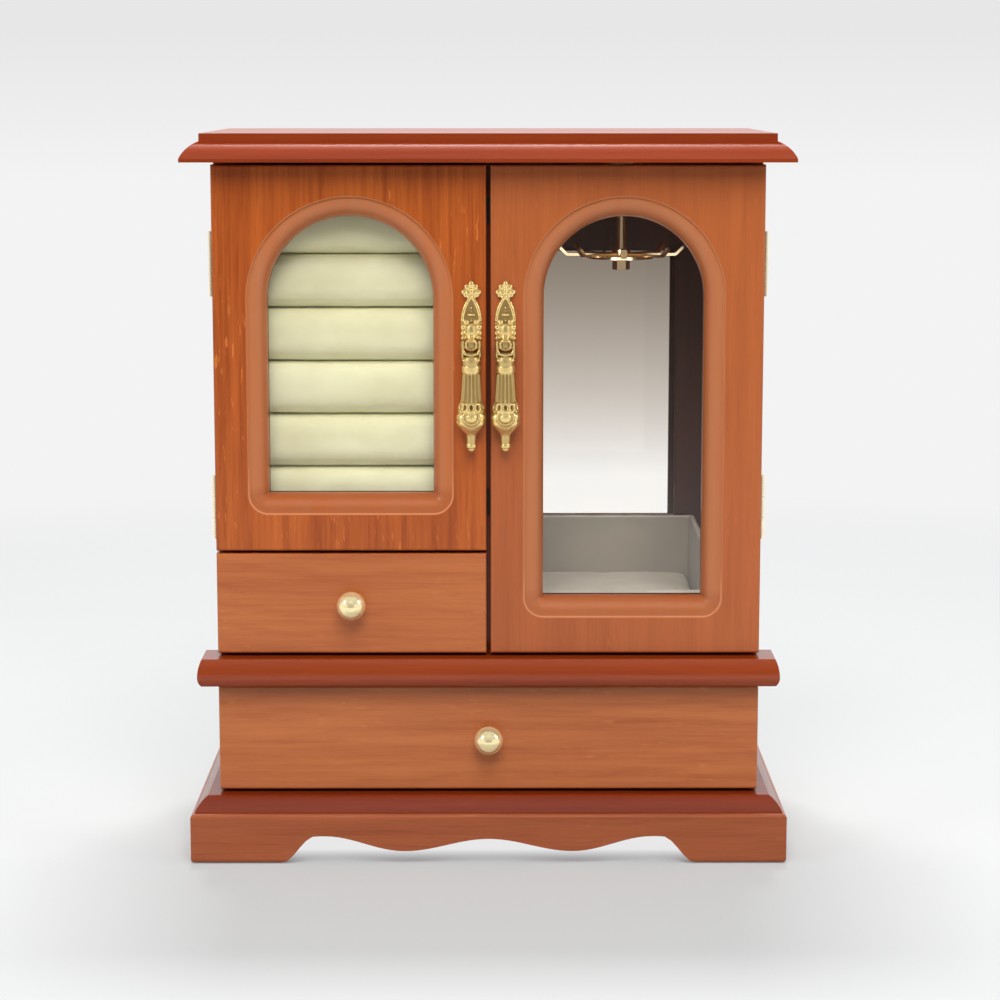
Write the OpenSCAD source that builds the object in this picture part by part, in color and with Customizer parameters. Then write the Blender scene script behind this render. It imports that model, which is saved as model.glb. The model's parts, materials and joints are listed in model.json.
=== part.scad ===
// Table-top jewelry cabinet: a moulded plinth, a full-width drawer, a waist board, and above it
// a small drawer, a cupboard of ring rolls and a tall cupboard with a necklace carousel.
// Millimetres, +Z up, the doors face -Y, the origin is under the middle of the cabinet.

/* [Case] */
// Width over the side panels
case_w = 236; // [220:1:270]
// Depth from the door faces to the back
case_d = 126; // [120:1:160]
// Height of the plinth boards
plinth_h = 22; // [20:1:30]
// Thickness of the base board
base_t = 7; // [6:0.5:10]
// Height of the lower drawer bay
lower_bay_h = 49; // [40:1:70]
// Thickness of the waist board
waist_t = 12; // [10:0.5:14]
// Height from the waist board to the crown
cabinet_h = 214; // [206:1:250]
// Thickness of the crown board
crown_t = 12; // [11:0.5:16]
// Overhang of the crown and the plinth on all four sides
overhang = 12; // [12:0.5:16]
// Overhang of the waist board at the front and at both ends
waist_overhang = 8.4; // [4:0.2:11]

/* [Panels] */
// Thickness of the side panels
side_t = 10; // [9:0.5:12]
// Thickness of the back panel
back_t = 4; // [3:0.5:6]
// Width of the rabbet that holds each edge of the back panel
back_rabbet = 5; // [3:0.5:7]
// Thickness of the partition between the cupboards
partition_t = 8; // [8:0.5:12]
// Thickness of the shelf over the upper drawer
shelf_t = 8; // [6:0.5:10]
// Height of the upper drawer bay
upper_bay_h = 42; // [38:1:50]
// Thickness of the doors and drawer fronts
front_t = 12; // [12:0.5:15]
// Gap between a front and the boards above and below it
reveal = 1.3; // [0.8:0.1:2]
// Gap between the two doors
meeting_gap = 1.8; // [1:0.1:3]
// Gap behind the fronts, where the hinge leaves lie
hinge_gap = 1.2; // [1.2:0.1:1.8]
// Radius that eases the front edges
ease_r = 1; // [0.5:0.1:2]

/* [Mouldings] */
// Height of the upright lip under the crown's curved face
crown_lip = 1.5; // [0.6:0.1:2.5]
// Radius of the crown's curved face
crown_round = 13.5; // [9:0.5:20]
// Height of the curved face
crown_rise = 7.2; // [6:0.1:8]
// How far the curved face runs in, up to the crown's top fillet
crown_step = 7.8; // [7:0.1:9.5]
// Height on the waist board where its nose stands out most
nose_at = 3.9; // [3:0.1:6]
// How far the top edge of the nose stands in
nose_top_in = 1.9; // [1:0.1:3]
// How far the bottom edge of the nose stands in
nose_bottom_in = 1.6; // [1:0.1:3]
// Height of the upright lip under the base board's curved face
base_lip = 0.5; // [0.3:0.1:1.5]
// Radius of the base board's curved face
base_round = 14; // [9:0.5:20]
// How far the curved face runs in
base_step = 5.4; // [4:0.1:6]
// How far the base board stands in from the plinth
base_in = 1.8; // [1.5:0.1:3.5]

/* [Plinth] */
// Thickness of the plinth boards
apron_t = 12; // [8:0.5:16]
// Radius along the plinth's top edge
apron_top_r = 1.8; // [1:0.1:3]
// Radius along the plinth's bottom edge
apron_bottom_r = 2.1; // [0.5:0.1:3]
// Width of each foot
foot_w = 39; // [30:1:42]
// Run of the curve that rises from a foot
foot_rise = 15.5; // [8:0.5:20]
// Height of the crest beside a foot
crest_h = 12.3; // [8:0.1:14]
// Length of the flat top of the front crest
crest_flat = 4; // [0:0.5:10]
// Distance of the front board's dips from its middle
dip_at = 36.6; // [28:0.2:40]
// Height of the front board's dips
dip_h = 5.6; // [4.8:0.1:8]
// Height of the front board's middle
middle_h = 11.1; // [6:0.1:14]
// Height of the side boards' middle
side_middle_h = 9; // [6:0.1:14]
// Leg of the glue blocks in the plinth's corners
block_leg = 14; // [8:1:20]
// Height of the glue blocks
block_h = 12; // [6:1:16]

/* [Windows] */
// Width of the stiles where the doors meet
inner_stile = 22.9; // [22:0.1:28]
// Width of the left door's hinge stile
left_outer_stile = 23; // [21:0.1:30]
// Width of the right door's hinge stile
right_outer_stile = 25.3; // [21:0.1:30]
// Height of the rail over a window's arch
top_rail = 22; // [12:0.5:26]
// Height of the rail under a window
bottom_rail = 24.5; // [14:0.5:30]
// Radius of the moulded round about a window
window_round = 7; // [4:0.1:7.5]
// Depth of the step outside the round
quirk_d = 0.9; // [0.4:0.1:1.5]
// Width of the step outside the round
quirk_w = 1.5; // [0.5:0.1:3]
// Thickness of the glass
glass_t = 2; // [1:0.1:2]
// Thickness of the bead that holds the glass
bead_t = 1; // [0.8:0.1:1.2]
// Width of the rabbet round the glass
rabbet_w = 3; // [2:0.1:4]
// Clearance between the glass and its rabbet
glass_gap = 0.2; // [0.1:0.1:0.5]

/* [Hinges] */
// Height of a hinge
hinge_h = 28; // [20:1:36]
// Distance from the crown down to the middle of the upper hinges
upper_hinge_down = 44; // [24:1:60]
// Distance from the crown down to the middle of the lower hinges
lower_hinge_down = 150; // [100:1:151]
// Radius of the knuckles
knuckle_r = 1.3; // [1.2:0.1:1.6]
// Radius of the hinge pins
pin_r = 0.6; // [0.5:0.05:0.8]
// Clearance of a pin in its knuckle
pin_gap = 0.05; // [0.02:0.01:0.1]
// Clearance between the knuckles, and between a knuckle and the wood
knuckle_gap = 0.2; // [0.1:0.05:0.3]
// Thickness of a leaf
leaf_t = 0.45; // [0.3:0.05:0.5]
// Width of a leaf
leaf_w = 8; // [6:0.5:8.5]

/* [Drawers] */
// Thickness of the drawer sides and backs
drawer_wall = 8; // [5:0.5:9]
// Thickness of the drawer bottoms
drawer_bottom_t = 3; // [2:0.5:4]
// Height of a drawer bottom over the drawer's lower edge
groove_up = 2; // [1:0.5:4]
// Depth of the grooves that hold the bottom
groove_d = 3; // [1:0.5:4]
// Clearance beside a drawer
drawer_side_gap = 0.8; // [0.4:0.1:1.5]
// Clearance under a drawer
drawer_under_gap = 0.3; // [0.2:0.1:0.6]
// Clearance over a drawer's sides
drawer_over_gap = 6; // [2:0.5:12]
// Clearance behind a drawer
drawer_back_gap = 6; // [3:0.5:20]
// Thickness of the lining in the drawers
lining_t = 1.6; // [1:0.1:3]
// Radius of the knobs
knob_r = 6.3; // [4:0.1:6.5]
// Projection of the knobs
knob_out = 11.9; // [10:0.1:12]
// Radius of the knobs' necks
knob_neck_r = 3.2; // [2:0.1:4]
// Length of the knobs' necks
knob_neck = 1.4; // [1:0.1:3]

/* [Pulls] */
// Distance of a pull from the meeting edge of its door
pull_in = 6.4; // [6:0.1:8]
// Distance from a door's top edge to the top of its pull
pull_down = 48.7; // [30:0.5:70]
// Height of the back plate over the pivot
plate_up = 27.3; // [26.3:0.1:30]
// Thickness of the back plate
plate_t = 1.6; // [1:0.1:2]
// Distance of the pivot from the door face
pivot_out = 4.8; // [4.6:0.1:5]
// Radius of the pivot pin
pivot_r = 0.8; // [0.6:0.05:1]
// Radius of the eye and of the arms about it
eye_r = 2.2; // [1.8:0.1:2.4]
// Width of the eye
eye_w = 5.2; // [4:0.1:5.4]
// Thickness of an arm
arm_t = 1.5; // [1:0.1:1.6]
// Clearance beside the eye
eye_side_gap = 0.4; // [0.3:0.1:0.6]
// Clearance between the hanging drop and the door
drop_back_gap = 0.6; // [0.3:0.1:1]

/* [Magnets] */
// Width of a magnet
magnet_w = 6; // [4:0.5:6.5]
// Height of a magnet
magnet_h = 12; // [8:1:16]
// Depth of a magnet in the partition
magnet_d = 3; // [2:0.5:5]
// Distance of a magnet from the end of the left door
magnet_in = 14; // [10:1:30]
// Distance of a strike from its door's edge
strike_in = 0.6; // [0.2:0.1:2]
// Width of a strike
strike_w = 4; // [3:0.5:8]
// Thickness of a strike
strike_t = 0.5; // [0.3:0.1:0.8]

/* [Ring rolls] */
// Number of ring rolls
roll_count = 6; // [4:1:8]
// Distance of the rolls' fronts behind the carcass edge
roll_back = 4.8; // [3:0.2:20]
// Distance from the tray's top to the crown
tray_down = 10; // [4:1:20]
// Height of the tray's top and bottom boards
tray_rail = 7; // [3:0.5:12]
// Thickness of the tray's sides and back
tray_wall = 3; // [2:0.5:5]
// Clearance about every soft piece
soft_gap = 0.3; // [0.2:0.05:0.5]

/* [Pouch] */
// Distance of the pouch's front behind the carcass edge
pouch_back = 2.3; // [2:0.1:10]
// Thickness of the pouch's front lip
pouch_lip_t = 15.5; // [6:0.5:18]
// Height of the front lip over the cupboard floor
pouch_lip_h = 24; // [20:0.5:30]
// Gap beside each side wall
pouch_side_gap = 9.3; // [0.5:0.1:12]
// Thickness of the side walls and the back wall
pouch_wall = 3.4; // [2:0.1:6]
// Height of the side walls and the back wall over the cupboard floor
pouch_h = 43.5; // [36:0.5:48]
// Thickness of the pouch's floor board
pouch_floor_t = 4; // [3:0.5:6]
// Thickness of the pad on the floor board
pouch_pad_t = 13.7; // [8:0.1:15]

/* [Mirror] */
// Width of the mirror
mirror_w = 65; // [50:1:84]
// Distance from the mirror's top to the crown
mirror_down = 45; // [30:1:80]
// Thickness of the mirror
mirror_t = 2; // [1.5:0.1:4]

/* [Carousel] */
// Distance of the carousel's spindle behind the carcass edge
carousel_back = 48.8; // [36:0.2:60]
// Offset of the spindle from the middle of its cupboard
carousel_off = 3.6; // [-8:0.2:8]
// Distance from the crown to the middle of the disc
disc_down = 44.2; // [30:0.2:50]
// Radius of the disc
disc_r = 14.3; // [8:0.1:18]
// Thickness of the disc
disc_t = 1.2; // [0.8:0.1:2]
// Radius of the spindle
spindle_r = 2.15; // [1.5:0.05:3]
// Number of hooks
hook_count = 8; // [4:1:10]
// Reach of the hooks
hook_reach = 29; // [20:0.5:32]
// Width of a hook
hook_w = 2.6; // [1.6:0.1:3]
// Thickness of a hook
hook_t = 1.2; // [0.8:0.1:1.6]
// Inner radius of the bend in a hook
hook_bend = 1.5; // [1:0.1:3]
// Angle at which a hook's tip rises
hook_lift = 45; // [30:1:80]
// Length of a hook's tip
hook_tip = 5; // [3:0.1:8]
// Radius of the ceiling plate
ceiling_plate_r = 11; // [8:0.5:16]
// Thickness of the ceiling plate
ceiling_plate_t = 5; // [4:0.1:8]
// Radius of the spindle's head
head_r = 3.4; // [3.2:0.1:5]
// Radius of the hooks' hub
hub_r = 4.2; // [4:0.1:6]
// Height of the hooks' hub
hub_h = 2.8; // [2:0.1:4]
// Radius across the corners of the nut
cap_r = 3.9; // [3.6:0.1:5]
// Height of the nut
cap_h = 5; // [3:0.1:7]
// Clearance of the spindle in its bores
turning_gap = 0.05; // [0.02:0.01:0.1]

/* [Hidden] */
$fn = 48;
eps = 0.01;
through = 1;

wood = [0.62, 0.30, 0.16];
wood_dark = [0.45, 0.2, 0.1];
raw_board = [0.6, 0.45, 0.33];
cream = [0.88, 0.85, 0.7];
grey_cloth = [0.66, 0.62, 0.55];
brass = [0.85, 0.68, 0.35];

// Levels of the boards, from the floor up
base_z = plinth_h;
lower_bay_z = base_z + base_t;
waist_z = lower_bay_z + lower_bay_h;
floor_z = waist_z + waist_t;
crown_z = floor_z + cabinet_h;
shelf_z = floor_z + upper_bay_h;
cupboard_z = shelf_z + shelf_t;
split_z = shelf_z + shelf_t / 2;

// Planes across the cabinet, from the door faces back
face_y = -case_d / 2;
front_back_y = face_y + front_t;
carcass_y = front_back_y + hinge_gap;
rear_y = case_d / 2;
back_y = rear_y - back_t;
mirror_y = back_y - mirror_t;
inner_x = case_w / 2 - side_t;
crown_w = case_w + 2 * overhang;
crown_d = case_d + 2 * overhang;
base_w = crown_w - 2 * base_in;
base_d = crown_d - 2 * base_in;
waist_w = case_w + 2 * waist_overhang;
waist_d = waist_overhang + front_t + hinge_gap;

// Doors
door_top_z = crown_z - reveal;
left_door_z = split_z + reveal / 2;
right_door_z = floor_z + reveal;
leaf_inner_x = meeting_gap / 2;
moulding_w = window_round + quirk_w;
rabbet_y = front_back_y - glass_t - bead_t;

// Hinges and pulls
pin_x = case_w / 2 + knuckle_gap + knuckle_r;
pin_y = front_back_y + hinge_gap / 2;
pull_x = leaf_inner_x + pull_in;
pivot_y = face_y - pivot_out;
pivot_z = door_top_z - pull_down - plate_up;

// Cupboards
left_mid_x = -(inner_x + partition_t / 2) / 2;
right_mid_x = -left_mid_x;
cupboard_w = inner_x - partition_t / 2;
tray_w = cupboard_w - 2 * soft_gap;
tray_top_z = crown_z - tray_down;
roll_pitch = (tray_top_z - cupboard_z - 2 * tray_rail) / roll_count;
roll_r = (roll_pitch - soft_gap) / 2;
roll_y = carcass_y + roll_back + roll_r;
roll_w = tray_w - 2 * tray_wall - 2 * soft_gap;
pouch_y = carcass_y + pouch_back;
pouch_rear_y = mirror_y - soft_gap;
spindle_x = right_mid_x + carousel_off;
spindle_y = carcass_y + carousel_back;
disc_z = crown_z - disc_down;
spindle_end_z = disc_z - disc_t / 2 - cap_h + 1 + soft_gap;
// How far a hook reaches into the hub
hook_root = 0.6;
magnet_levels = [split_z + magnet_in + magnet_h / 2, door_top_z - magnet_in - magnet_h / 2];

// ---------- helpers ----------

// A box from its lowest corner to its highest
module block(low, high) {
    translate(low) cube(high - low);
}

// Extrudes a section drawn in width and height along Y
module along_y(length) {
    translate([0, length / 2, 0]) rotate([90, 0, 0]) linear_extrude(length) children();
}

// Extrudes a section drawn in depth and height along X
module along_x(length) {
    translate([-length / 2, 0, 0]) rotate([90, 0, 90]) linear_extrude(length) children();
}

// The waste outside a quarter round whose centre is at [x, z]; the round faces outward and up
module round_waste(x, z, r) {
    difference() {
        translate([x, z]) square(r + through);
        translate([x, z]) circle(r);
    }
}

// Cosine ease from 0 to 1
function ease(t) = (1 - cos(180 * t)) / 2;

// ---------- plinth ----------

// Height of the curve that falls from a crest to its foot
function foot_curve(u, half) =
    let(run = (u - half + foot_w + foot_rise) / foot_rise)
    crest_h * (1 - ease(max(0, min(1, run))));

// Height of the front and back boards' lower edge at a distance from the middle
function front_scallop(u, half) =
    let(crest_at = half - foot_w - foot_rise - crest_flat)
    u < dip_at ? dip_h + (middle_h - dip_h) * (1 - ease(u / dip_at)) :
    u < crest_at ? dip_h + (crest_h - dip_h) * ease((u - dip_at) / (crest_at - dip_at)) :
    foot_curve(u, half);

// The same for the side boards, which have one shallow dip
function side_scallop(u, half) =
    let(crest_at = half - foot_w - foot_rise)
    u < crest_at ? side_middle_h + (crest_h - side_middle_h) * ease(u / crest_at) :
    foot_curve(u, half);

// The section of a plinth board: depth from its inner face, and height
module apron_section() {
    difference() {
        square([apron_t, plinth_h]);
        round_waste(apron_t - apron_top_r, plinth_h - apron_top_r, apron_top_r);
        translate([0, apron_bottom_r]) mirror([0, 1])
            round_waste(apron_t - apron_bottom_r, 0, apron_bottom_r);
    }
}

// A plinth board that faces -Y, with mitred ends and a scalloped lower edge
module apron(length, depth, is_front) {
    half = length / 2;
    gap = half - foot_w;
    steps = 64;
    edge = [
        for (i = [0:steps])
            let(u = -gap + 2 * gap * i / steps)
            [u, is_front ? front_scallop(abs(u), half) : side_scallop(abs(u), half)]
    ];
    difference() {
        intersection() {
            translate([0, -depth / 2 + apron_t, 0]) mirror([0, 1, 0]) along_x(length) apron_section();
            linear_extrude(plinth_h) polygon([
                [-half, -depth / 2], [half, -depth / 2],
                [half - apron_t, -depth / 2 + apron_t], [-half + apron_t, -depth / 2 + apron_t]
            ]);
        }
        translate([0, -depth / 2, 0]) along_y(4 * apron_t)
            polygon(concat([[-gap, -through]], edge, [[gap, -through]]));
    }
}

module front_apron() {
    color(wood) apron(crown_w, crown_d, true);
}

module back_apron() {
    color(wood) rotate(180) apron(crown_w, crown_d, true);
}

module left_apron() {
    color(wood) rotate(-90) apron(crown_d, crown_w, false);
}

module right_apron() {
    color(wood) rotate(90) apron(crown_d, crown_w, false);
}

// Triangular blocks glued into the plinth's corners, under the base board
module corner_blocks() {
    x = crown_w / 2 - apron_t;
    y = crown_d / 2 - apron_t;
    color(raw_board)
        for (sx = [-1, 1], sy = [-1, 1])
            translate([0, 0, base_z - block_h]) linear_extrude(block_h)
                polygon([
                    [sx * x, sy * y], [sx * (x - block_leg), sy * y], [sx * x, sy * (y - block_leg)]
                ]);
}

// ---------- boards of the case ----------

// The waste over a curved face of radius r, drawn for an edge at x = 0 that faces +X: the face
// starts at height low and bulges up and in, to run_in from the edge at height high
module face_waste(run_in, low, high, r, top) {
    half = sqrt(run_in * run_in + (high - low) * (high - low)) / 2;
    back = sqrt(r * r - half * half);
    lean = atan((high - low) / run_in);
    difference() {
        polygon([
            [0, low], [through, low], [through, top + through], [-run_in, top + through],
            [-run_in, high]
        ]);
        translate([-run_in / 2 - back * sin(lean), (low + high) / 2 - back * cos(lean)])
            circle(r, $fn = 120);
    }
}

module crown_waste() {
    face_waste(crown_step, crown_lip, crown_lip + crown_rise, crown_round, crown_t);
}

module base_waste() {
    face_waste(base_step, base_lip, base_t, base_round, base_t);
}

// The waste beside a nose that is rounded over its whole height
module nose_waste() {
    up = waist_t - nose_at;
    top_r = (nose_top_in * nose_top_in + up * up) / (2 * nose_top_in);
    bottom_r = (nose_bottom_in * nose_bottom_in + nose_at * nose_at) / (2 * nose_bottom_in);
    difference() {
        translate([-nose_top_in, nose_at]) square([nose_top_in + through, up + through]);
        translate([-top_r, nose_at]) circle(top_r, $fn = 180);
    }
    difference() {
        translate([-nose_bottom_in, -through]) square([nose_bottom_in + through, nose_at + through]);
        translate([-bottom_r, nose_at]) circle(bottom_r, $fn = 96);
    }
}

// The section of a board moulded on both edges; children() is the waste of one edge
module moulded_section(width, thickness) {
    difference() {
        translate([-width / 2, 0]) square([width, thickness]);
        for (side = [0, 1]) mirror([side, 0]) translate([width / 2, 0]) children();
    }
}

module crown_board() {
    color(wood) translate([0, 0, crown_z]) intersection() {
        along_y(crown_d) moulded_section(crown_w, crown_t) crown_waste();
        along_x(crown_w) moulded_section(crown_d, crown_t) crown_waste();
    }
}

module base_board() {
    color(wood) translate([0, 0, base_z]) intersection() {
        along_y(base_d) moulded_section(base_w, base_t) base_waste();
        along_x(base_w) moulded_section(base_d, base_t) base_waste();
    }
}

// The waist board reaches past the fronts and ends in a horn on each side of the case
module waist_board() {
    color(wood) translate([0, 0, waist_z]) union() {
        intersection() {
            translate([0, carcass_y - waist_d / 2, 0])
                along_y(waist_d) moulded_section(waist_w, waist_t) nose_waste();
            translate([0, carcass_y, 0]) along_x(waist_w) difference() {
                translate([-waist_d, 0]) square([waist_d, waist_t]);
                mirror([1, 0]) translate([waist_d, 0]) nose_waste();
            }
        }
        block([-inner_x, carcass_y - 1, 0], [inner_x, back_y, waist_t]);
    }
}

module left_side() {
    color(wood) difference() {
        block([-case_w / 2, carcass_y, lower_bay_z], [-inner_x, rear_y, crown_z]);
        block([-inner_x - back_rabbet, back_y, lower_bay_z - 1],
              [-inner_x + 1, rear_y + 1, crown_z + 1]);
    }
}

module right_side() {
    color(wood) mirror([1, 0, 0]) left_side();
}

module back_panel() {
    color(wood_dark)
        block([-inner_x - back_rabbet, back_y, lower_bay_z],
              [inner_x + back_rabbet, rear_y, crown_z]);
}

// Blocks of a magnet's size at each magnet, from a plane in front to the pockets' floor
module magnet_blocks(front) {
    for (z = magnet_levels)
        block([-magnet_w / 2, front, z - magnet_h / 2],
              [magnet_w / 2, carcass_y + magnet_d, z + magnet_h / 2]);
}

// Stands between the cupboards; its front edge has pockets for the door magnets
module partition() {
    color(wood) difference() {
        block([-partition_t / 2, carcass_y, floor_z], [partition_t / 2, back_y, crown_z]);
        magnet_blocks(carcass_y - 1);
    }
}

module door_magnets() {
    color("dimgray") magnet_blocks(carcass_y);
}

module shelf() {
    color(wood) block([-inner_x, carcass_y, shelf_z], [-partition_t / 2, back_y, cupboard_z]);
}

// ---------- left cupboard ----------

// A fabric-covered tray that stands on the shelf and holds the rolls
module ring_tray() {
    back_front_y = roll_y + roll_r + soft_gap;
    color(cream) difference() {
        block([left_mid_x - tray_w / 2, carcass_y + roll_back, cupboard_z],
              [left_mid_x + tray_w / 2, back_front_y + tray_wall, tray_top_z]);
        block([left_mid_x - tray_w / 2 + tray_wall, carcass_y, cupboard_z + tray_rail],
              [left_mid_x + tray_w / 2 - tray_wall, back_front_y, tray_top_z - tray_rail]);
    }
}

module ring_roll(number) {
    z = cupboard_z + tray_rail + roll_pitch * (number - 0.5);
    color(cream) translate([left_mid_x - roll_w / 2, roll_y, z]) rotate([0, 90, 0])
        cylinder(r = roll_r, h = roll_w);
}

// ---------- right cupboard ----------

// A padded pouch that catches the ends of the necklaces
module pouch_shell() {
    half = cupboard_w / 2 - pouch_side_gap;
    color(grey_cloth) translate([right_mid_x, 0, floor_z]) difference() {
        block([-half, pouch_y, 0], [half, pouch_rear_y, pouch_h]);
        block([-half + pouch_wall, pouch_y + pouch_lip_t, pouch_floor_t],
              [half - pouch_wall, pouch_rear_y - pouch_wall, pouch_h + 1]);
        block([-half + pouch_wall, pouch_y - 1, pouch_lip_h],
              [half - pouch_wall, pouch_rear_y - pouch_wall, pouch_h + 1]);
    }
}

module pouch_pad() {
    half = cupboard_w / 2 - pouch_side_gap - pouch_wall - soft_gap;
    color(grey_cloth) translate([right_mid_x, 0, floor_z + pouch_floor_t + soft_gap])
        block([-half, pouch_y + pouch_lip_t + soft_gap, 0],
              [half, pouch_rear_y - pouch_wall - soft_gap, pouch_pad_t]);
}

module mirror_pane() {
    color("lightgray")
        block([right_mid_x - mirror_w / 2, mirror_y, floor_z + pouch_floor_t],
              [right_mid_x + mirror_w / 2, back_y, crown_z - mirror_down]);
}

// ---------- necklace carousel ----------

// Places a part of the carousel on the spindle's axis
module on_spindle(z) {
    translate([spindle_x, spindle_y, z]) children();
}

// Screwed under the crown; the spindle's head turns in its pocket
module carousel_plate() {
    color(brass) on_spindle(crown_z - ceiling_plate_t) difference() {
        cylinder(r = ceiling_plate_r, h = ceiling_plate_t);
        translate([0, 0, -1]) cylinder(r = spindle_r + turning_gap, h = ceiling_plate_t + 2);
        translate([0, 0, ceiling_plate_t / 2]) cylinder(r = head_r + soft_gap, h = ceiling_plate_t);
    }
}

module carousel_spindle() {
    head_z = crown_z - ceiling_plate_t / 2 + soft_gap;
    color(brass) union() {
        on_spindle(spindle_end_z) cylinder(r = spindle_r, h = head_z - spindle_end_z + eps);
        on_spindle(head_z) cylinder(r = head_r, h = crown_z - soft_gap - head_z);
    }
}

module carousel_disc() {
    color(brass) on_spindle(disc_z - disc_t / 2) difference() {
        cylinder(r = disc_r, h = disc_t);
        translate([0, 0, -1]) cylinder(r = spindle_r + turning_gap, h = disc_t + 2);
    }
}

// One stamped hook: a flat arm along +X whose rounded tip is bent up and outward
module hook() {
    outer = hook_bend + hook_t;
    bend_x = hook_reach - outer * sin(hook_lift) - hook_tip * cos(hook_lift);
    root_x = hub_r - hook_root;
    translate([root_x, -hook_w / 2, 0]) cube([bend_x - root_x, hook_w, hook_t]);
    translate([bend_x, 0, outer]) {
        rotate([90, 0, 0]) rotate(-90) rotate_extrude(angle = hook_lift)
            translate([hook_bend, -hook_w / 2]) square([hook_t, hook_w]);
        rotate([0, -hook_lift, 0]) translate([0, 0, -outer]) linear_extrude(hook_t) {
            translate([0, -hook_w / 2]) square([hook_tip - hook_w / 2, hook_w]);
            translate([hook_tip - hook_w / 2, 0]) circle(hook_w / 2);
        }
    }
}

module carousel_hooks() {
    color(brass) on_spindle(disc_z + disc_t / 2) difference() {
        union() {
            cylinder(r = hub_r, h = hub_h);
            for (i = [0:hook_count - 1]) rotate(i * 360 / hook_count) hook();
        }
        translate([0, 0, -1]) cylinder(r = spindle_r + turning_gap, h = hub_h + 2);
    }
}

// The nut that closes the spindle under the disc
module carousel_cap() {
    color(brass) on_spindle(disc_z - disc_t / 2 - cap_h) difference() {
        union() {
            cylinder(r = cap_r, h = cap_h, $fn = 6);
            translate([0, 0, cap_h - 1]) cylinder(r = cap_r, h = 1);
        }
        translate([0, 0, 1]) cylinder(r = spindle_r + turning_gap, h = cap_h);
    }
}

// ---------- doors and fronts ----------

// A flat front whose four face edges are eased
module eased_front(x0, x1, z0, z1) {
    width = x1 - x0;
    height = z1 - z0;
    translate([(x0 + x1) / 2, front_back_y, 0]) intersection() {
        translate([0, 0, z0]) linear_extrude(height) difference() {
            translate([-width / 2, -front_t]) square([width, front_t]);
            for (side = [0, 1]) mirror([side, 0]) mirror([0, 1])
                round_waste(width / 2 - ease_r, front_t - ease_r, ease_r);
        }
        along_x(width) difference() {
            translate([-front_t, z0]) square([front_t, height]);
            mirror([1, 0]) round_waste(front_t - ease_r, z1 - ease_r, ease_r);
            mirror([1, 0]) translate([0, z0 + ease_r]) mirror([0, 1])
                round_waste(front_t - ease_r, 0, ease_r);
        }
    }
}

// The outline of an arched window, grown by a margin; the lower corners stay square
module arch_outline(width, low, spring, margin) {
    translate([-width / 2 - margin, low - margin]) square([width + 2 * margin, spring - low + margin]);
    translate([0, spring]) circle(width / 2 + margin, $fn = 96);
}

// The waste of the moulding: distance out from the window's edge, and depth behind the face
module window_waste() {
    depth = quirk_d + window_round;
    difference() {
        translate([0, -1]) square([window_round, depth + 1]);
        translate([window_round, depth]) circle(window_round);
    }
    translate([0, -1]) square([moulding_w, quirk_d + 1]);
}

// Everything cut from a door for its window: the moulding, the opening and the glass rabbet
module window_cut(width, low, spring) {
    // round the arch
    translate([0, face_y, spring]) rotate([-90, 180, 0]) rotate_extrude(angle = 180, $fn = 96)
        translate([width / 2, 0]) window_waste();
    // up both sides and round the lower corners
    for (side = [0, 1]) mirror([side, 0, 0]) translate([width / 2, face_y, low]) {
        linear_extrude(spring - low) window_waste();
        rotate([-90, 0, 0]) rotate_extrude(angle = 90) window_waste();
    }
    // along the bottom
    translate([-width / 2, face_y, low]) rotate([0, 90, 0]) linear_extrude(width) window_waste();
    translate([0, front_back_y + 1, 0]) rotate([90, 0, 0]) linear_extrude(front_t + 2)
        arch_outline(width, low, spring, 0);
    translate([0, front_back_y + 1, 0]) rotate([90, 0, 0])
        linear_extrude(front_back_y + 1 - rabbet_y) arch_outline(width, low, spring, rabbet_w);
}

// A door leaf from x0 to x1 with its window between w0 and w1
module door_leaf(x0, x1, w0, w1, door_z) {
    width = w1 - w0;
    difference() {
        eased_front(x0, x1, door_z, door_top_z);
        translate([(w0 + w1) / 2, 0, 0])
            window_cut(width, door_z + bottom_rail, door_top_z - top_rail - width / 2);
    }
}

// The pane that lies in a door's rabbet, and the bead that holds it there
module pane(w0, w1, door_z) {
    width = w1 - w0;
    spring = door_top_z - top_rail - width / 2;
    translate([(w0 + w1) / 2, rabbet_y + glass_t, 0]) rotate([90, 0, 0]) linear_extrude(glass_t)
        arch_outline(width, door_z + bottom_rail, spring, rabbet_w - glass_gap);
}

module bead(w0, w1, door_z) {
    width = w1 - w0;
    spring = door_top_z - top_rail - width / 2;
    translate([(w0 + w1) / 2, front_back_y, 0]) rotate([90, 0, 0]) linear_extrude(bead_t) difference() {
        arch_outline(width, door_z + bottom_rail, spring, rabbet_w - glass_gap);
        arch_outline(width, door_z + bottom_rail, spring, 0);
    }
}

left_window = [-case_w / 2 + left_outer_stile, -leaf_inner_x - inner_stile];
right_window = [leaf_inner_x + inner_stile, case_w / 2 - right_outer_stile];

module left_door() {
    color(wood) door_leaf(-case_w / 2, -leaf_inner_x, left_window[0], left_window[1], left_door_z);
}

module left_glass() {
    color([0.8, 0.9, 0.9, 0.35]) pane(left_window[0], left_window[1], left_door_z);
}

module left_bead() {
    color(wood_dark) bead(left_window[0], left_window[1], left_door_z);
}

module right_door() {
    color(wood) door_leaf(leaf_inner_x, case_w / 2, right_window[0], right_window[1], right_door_z);
}

module right_glass() {
    color([0.8, 0.9, 0.9, 0.35]) pane(right_window[0], right_window[1], right_door_z);
}

module right_bead() {
    color(wood_dark) bead(right_window[0], right_window[1], right_door_z);
}

// Steel plates on the back of a door, for the magnets
module right_strikes() {
    color("silver")
        for (z = magnet_levels)
            block([leaf_inner_x + strike_in, front_back_y, z - magnet_h / 2],
                  [leaf_inner_x + strike_in + strike_w, front_back_y + strike_t, z + magnet_h / 2]);
}

module left_strikes() {
    mirror([1, 0, 0]) right_strikes();
}

// ---------- hinges ----------

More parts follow.
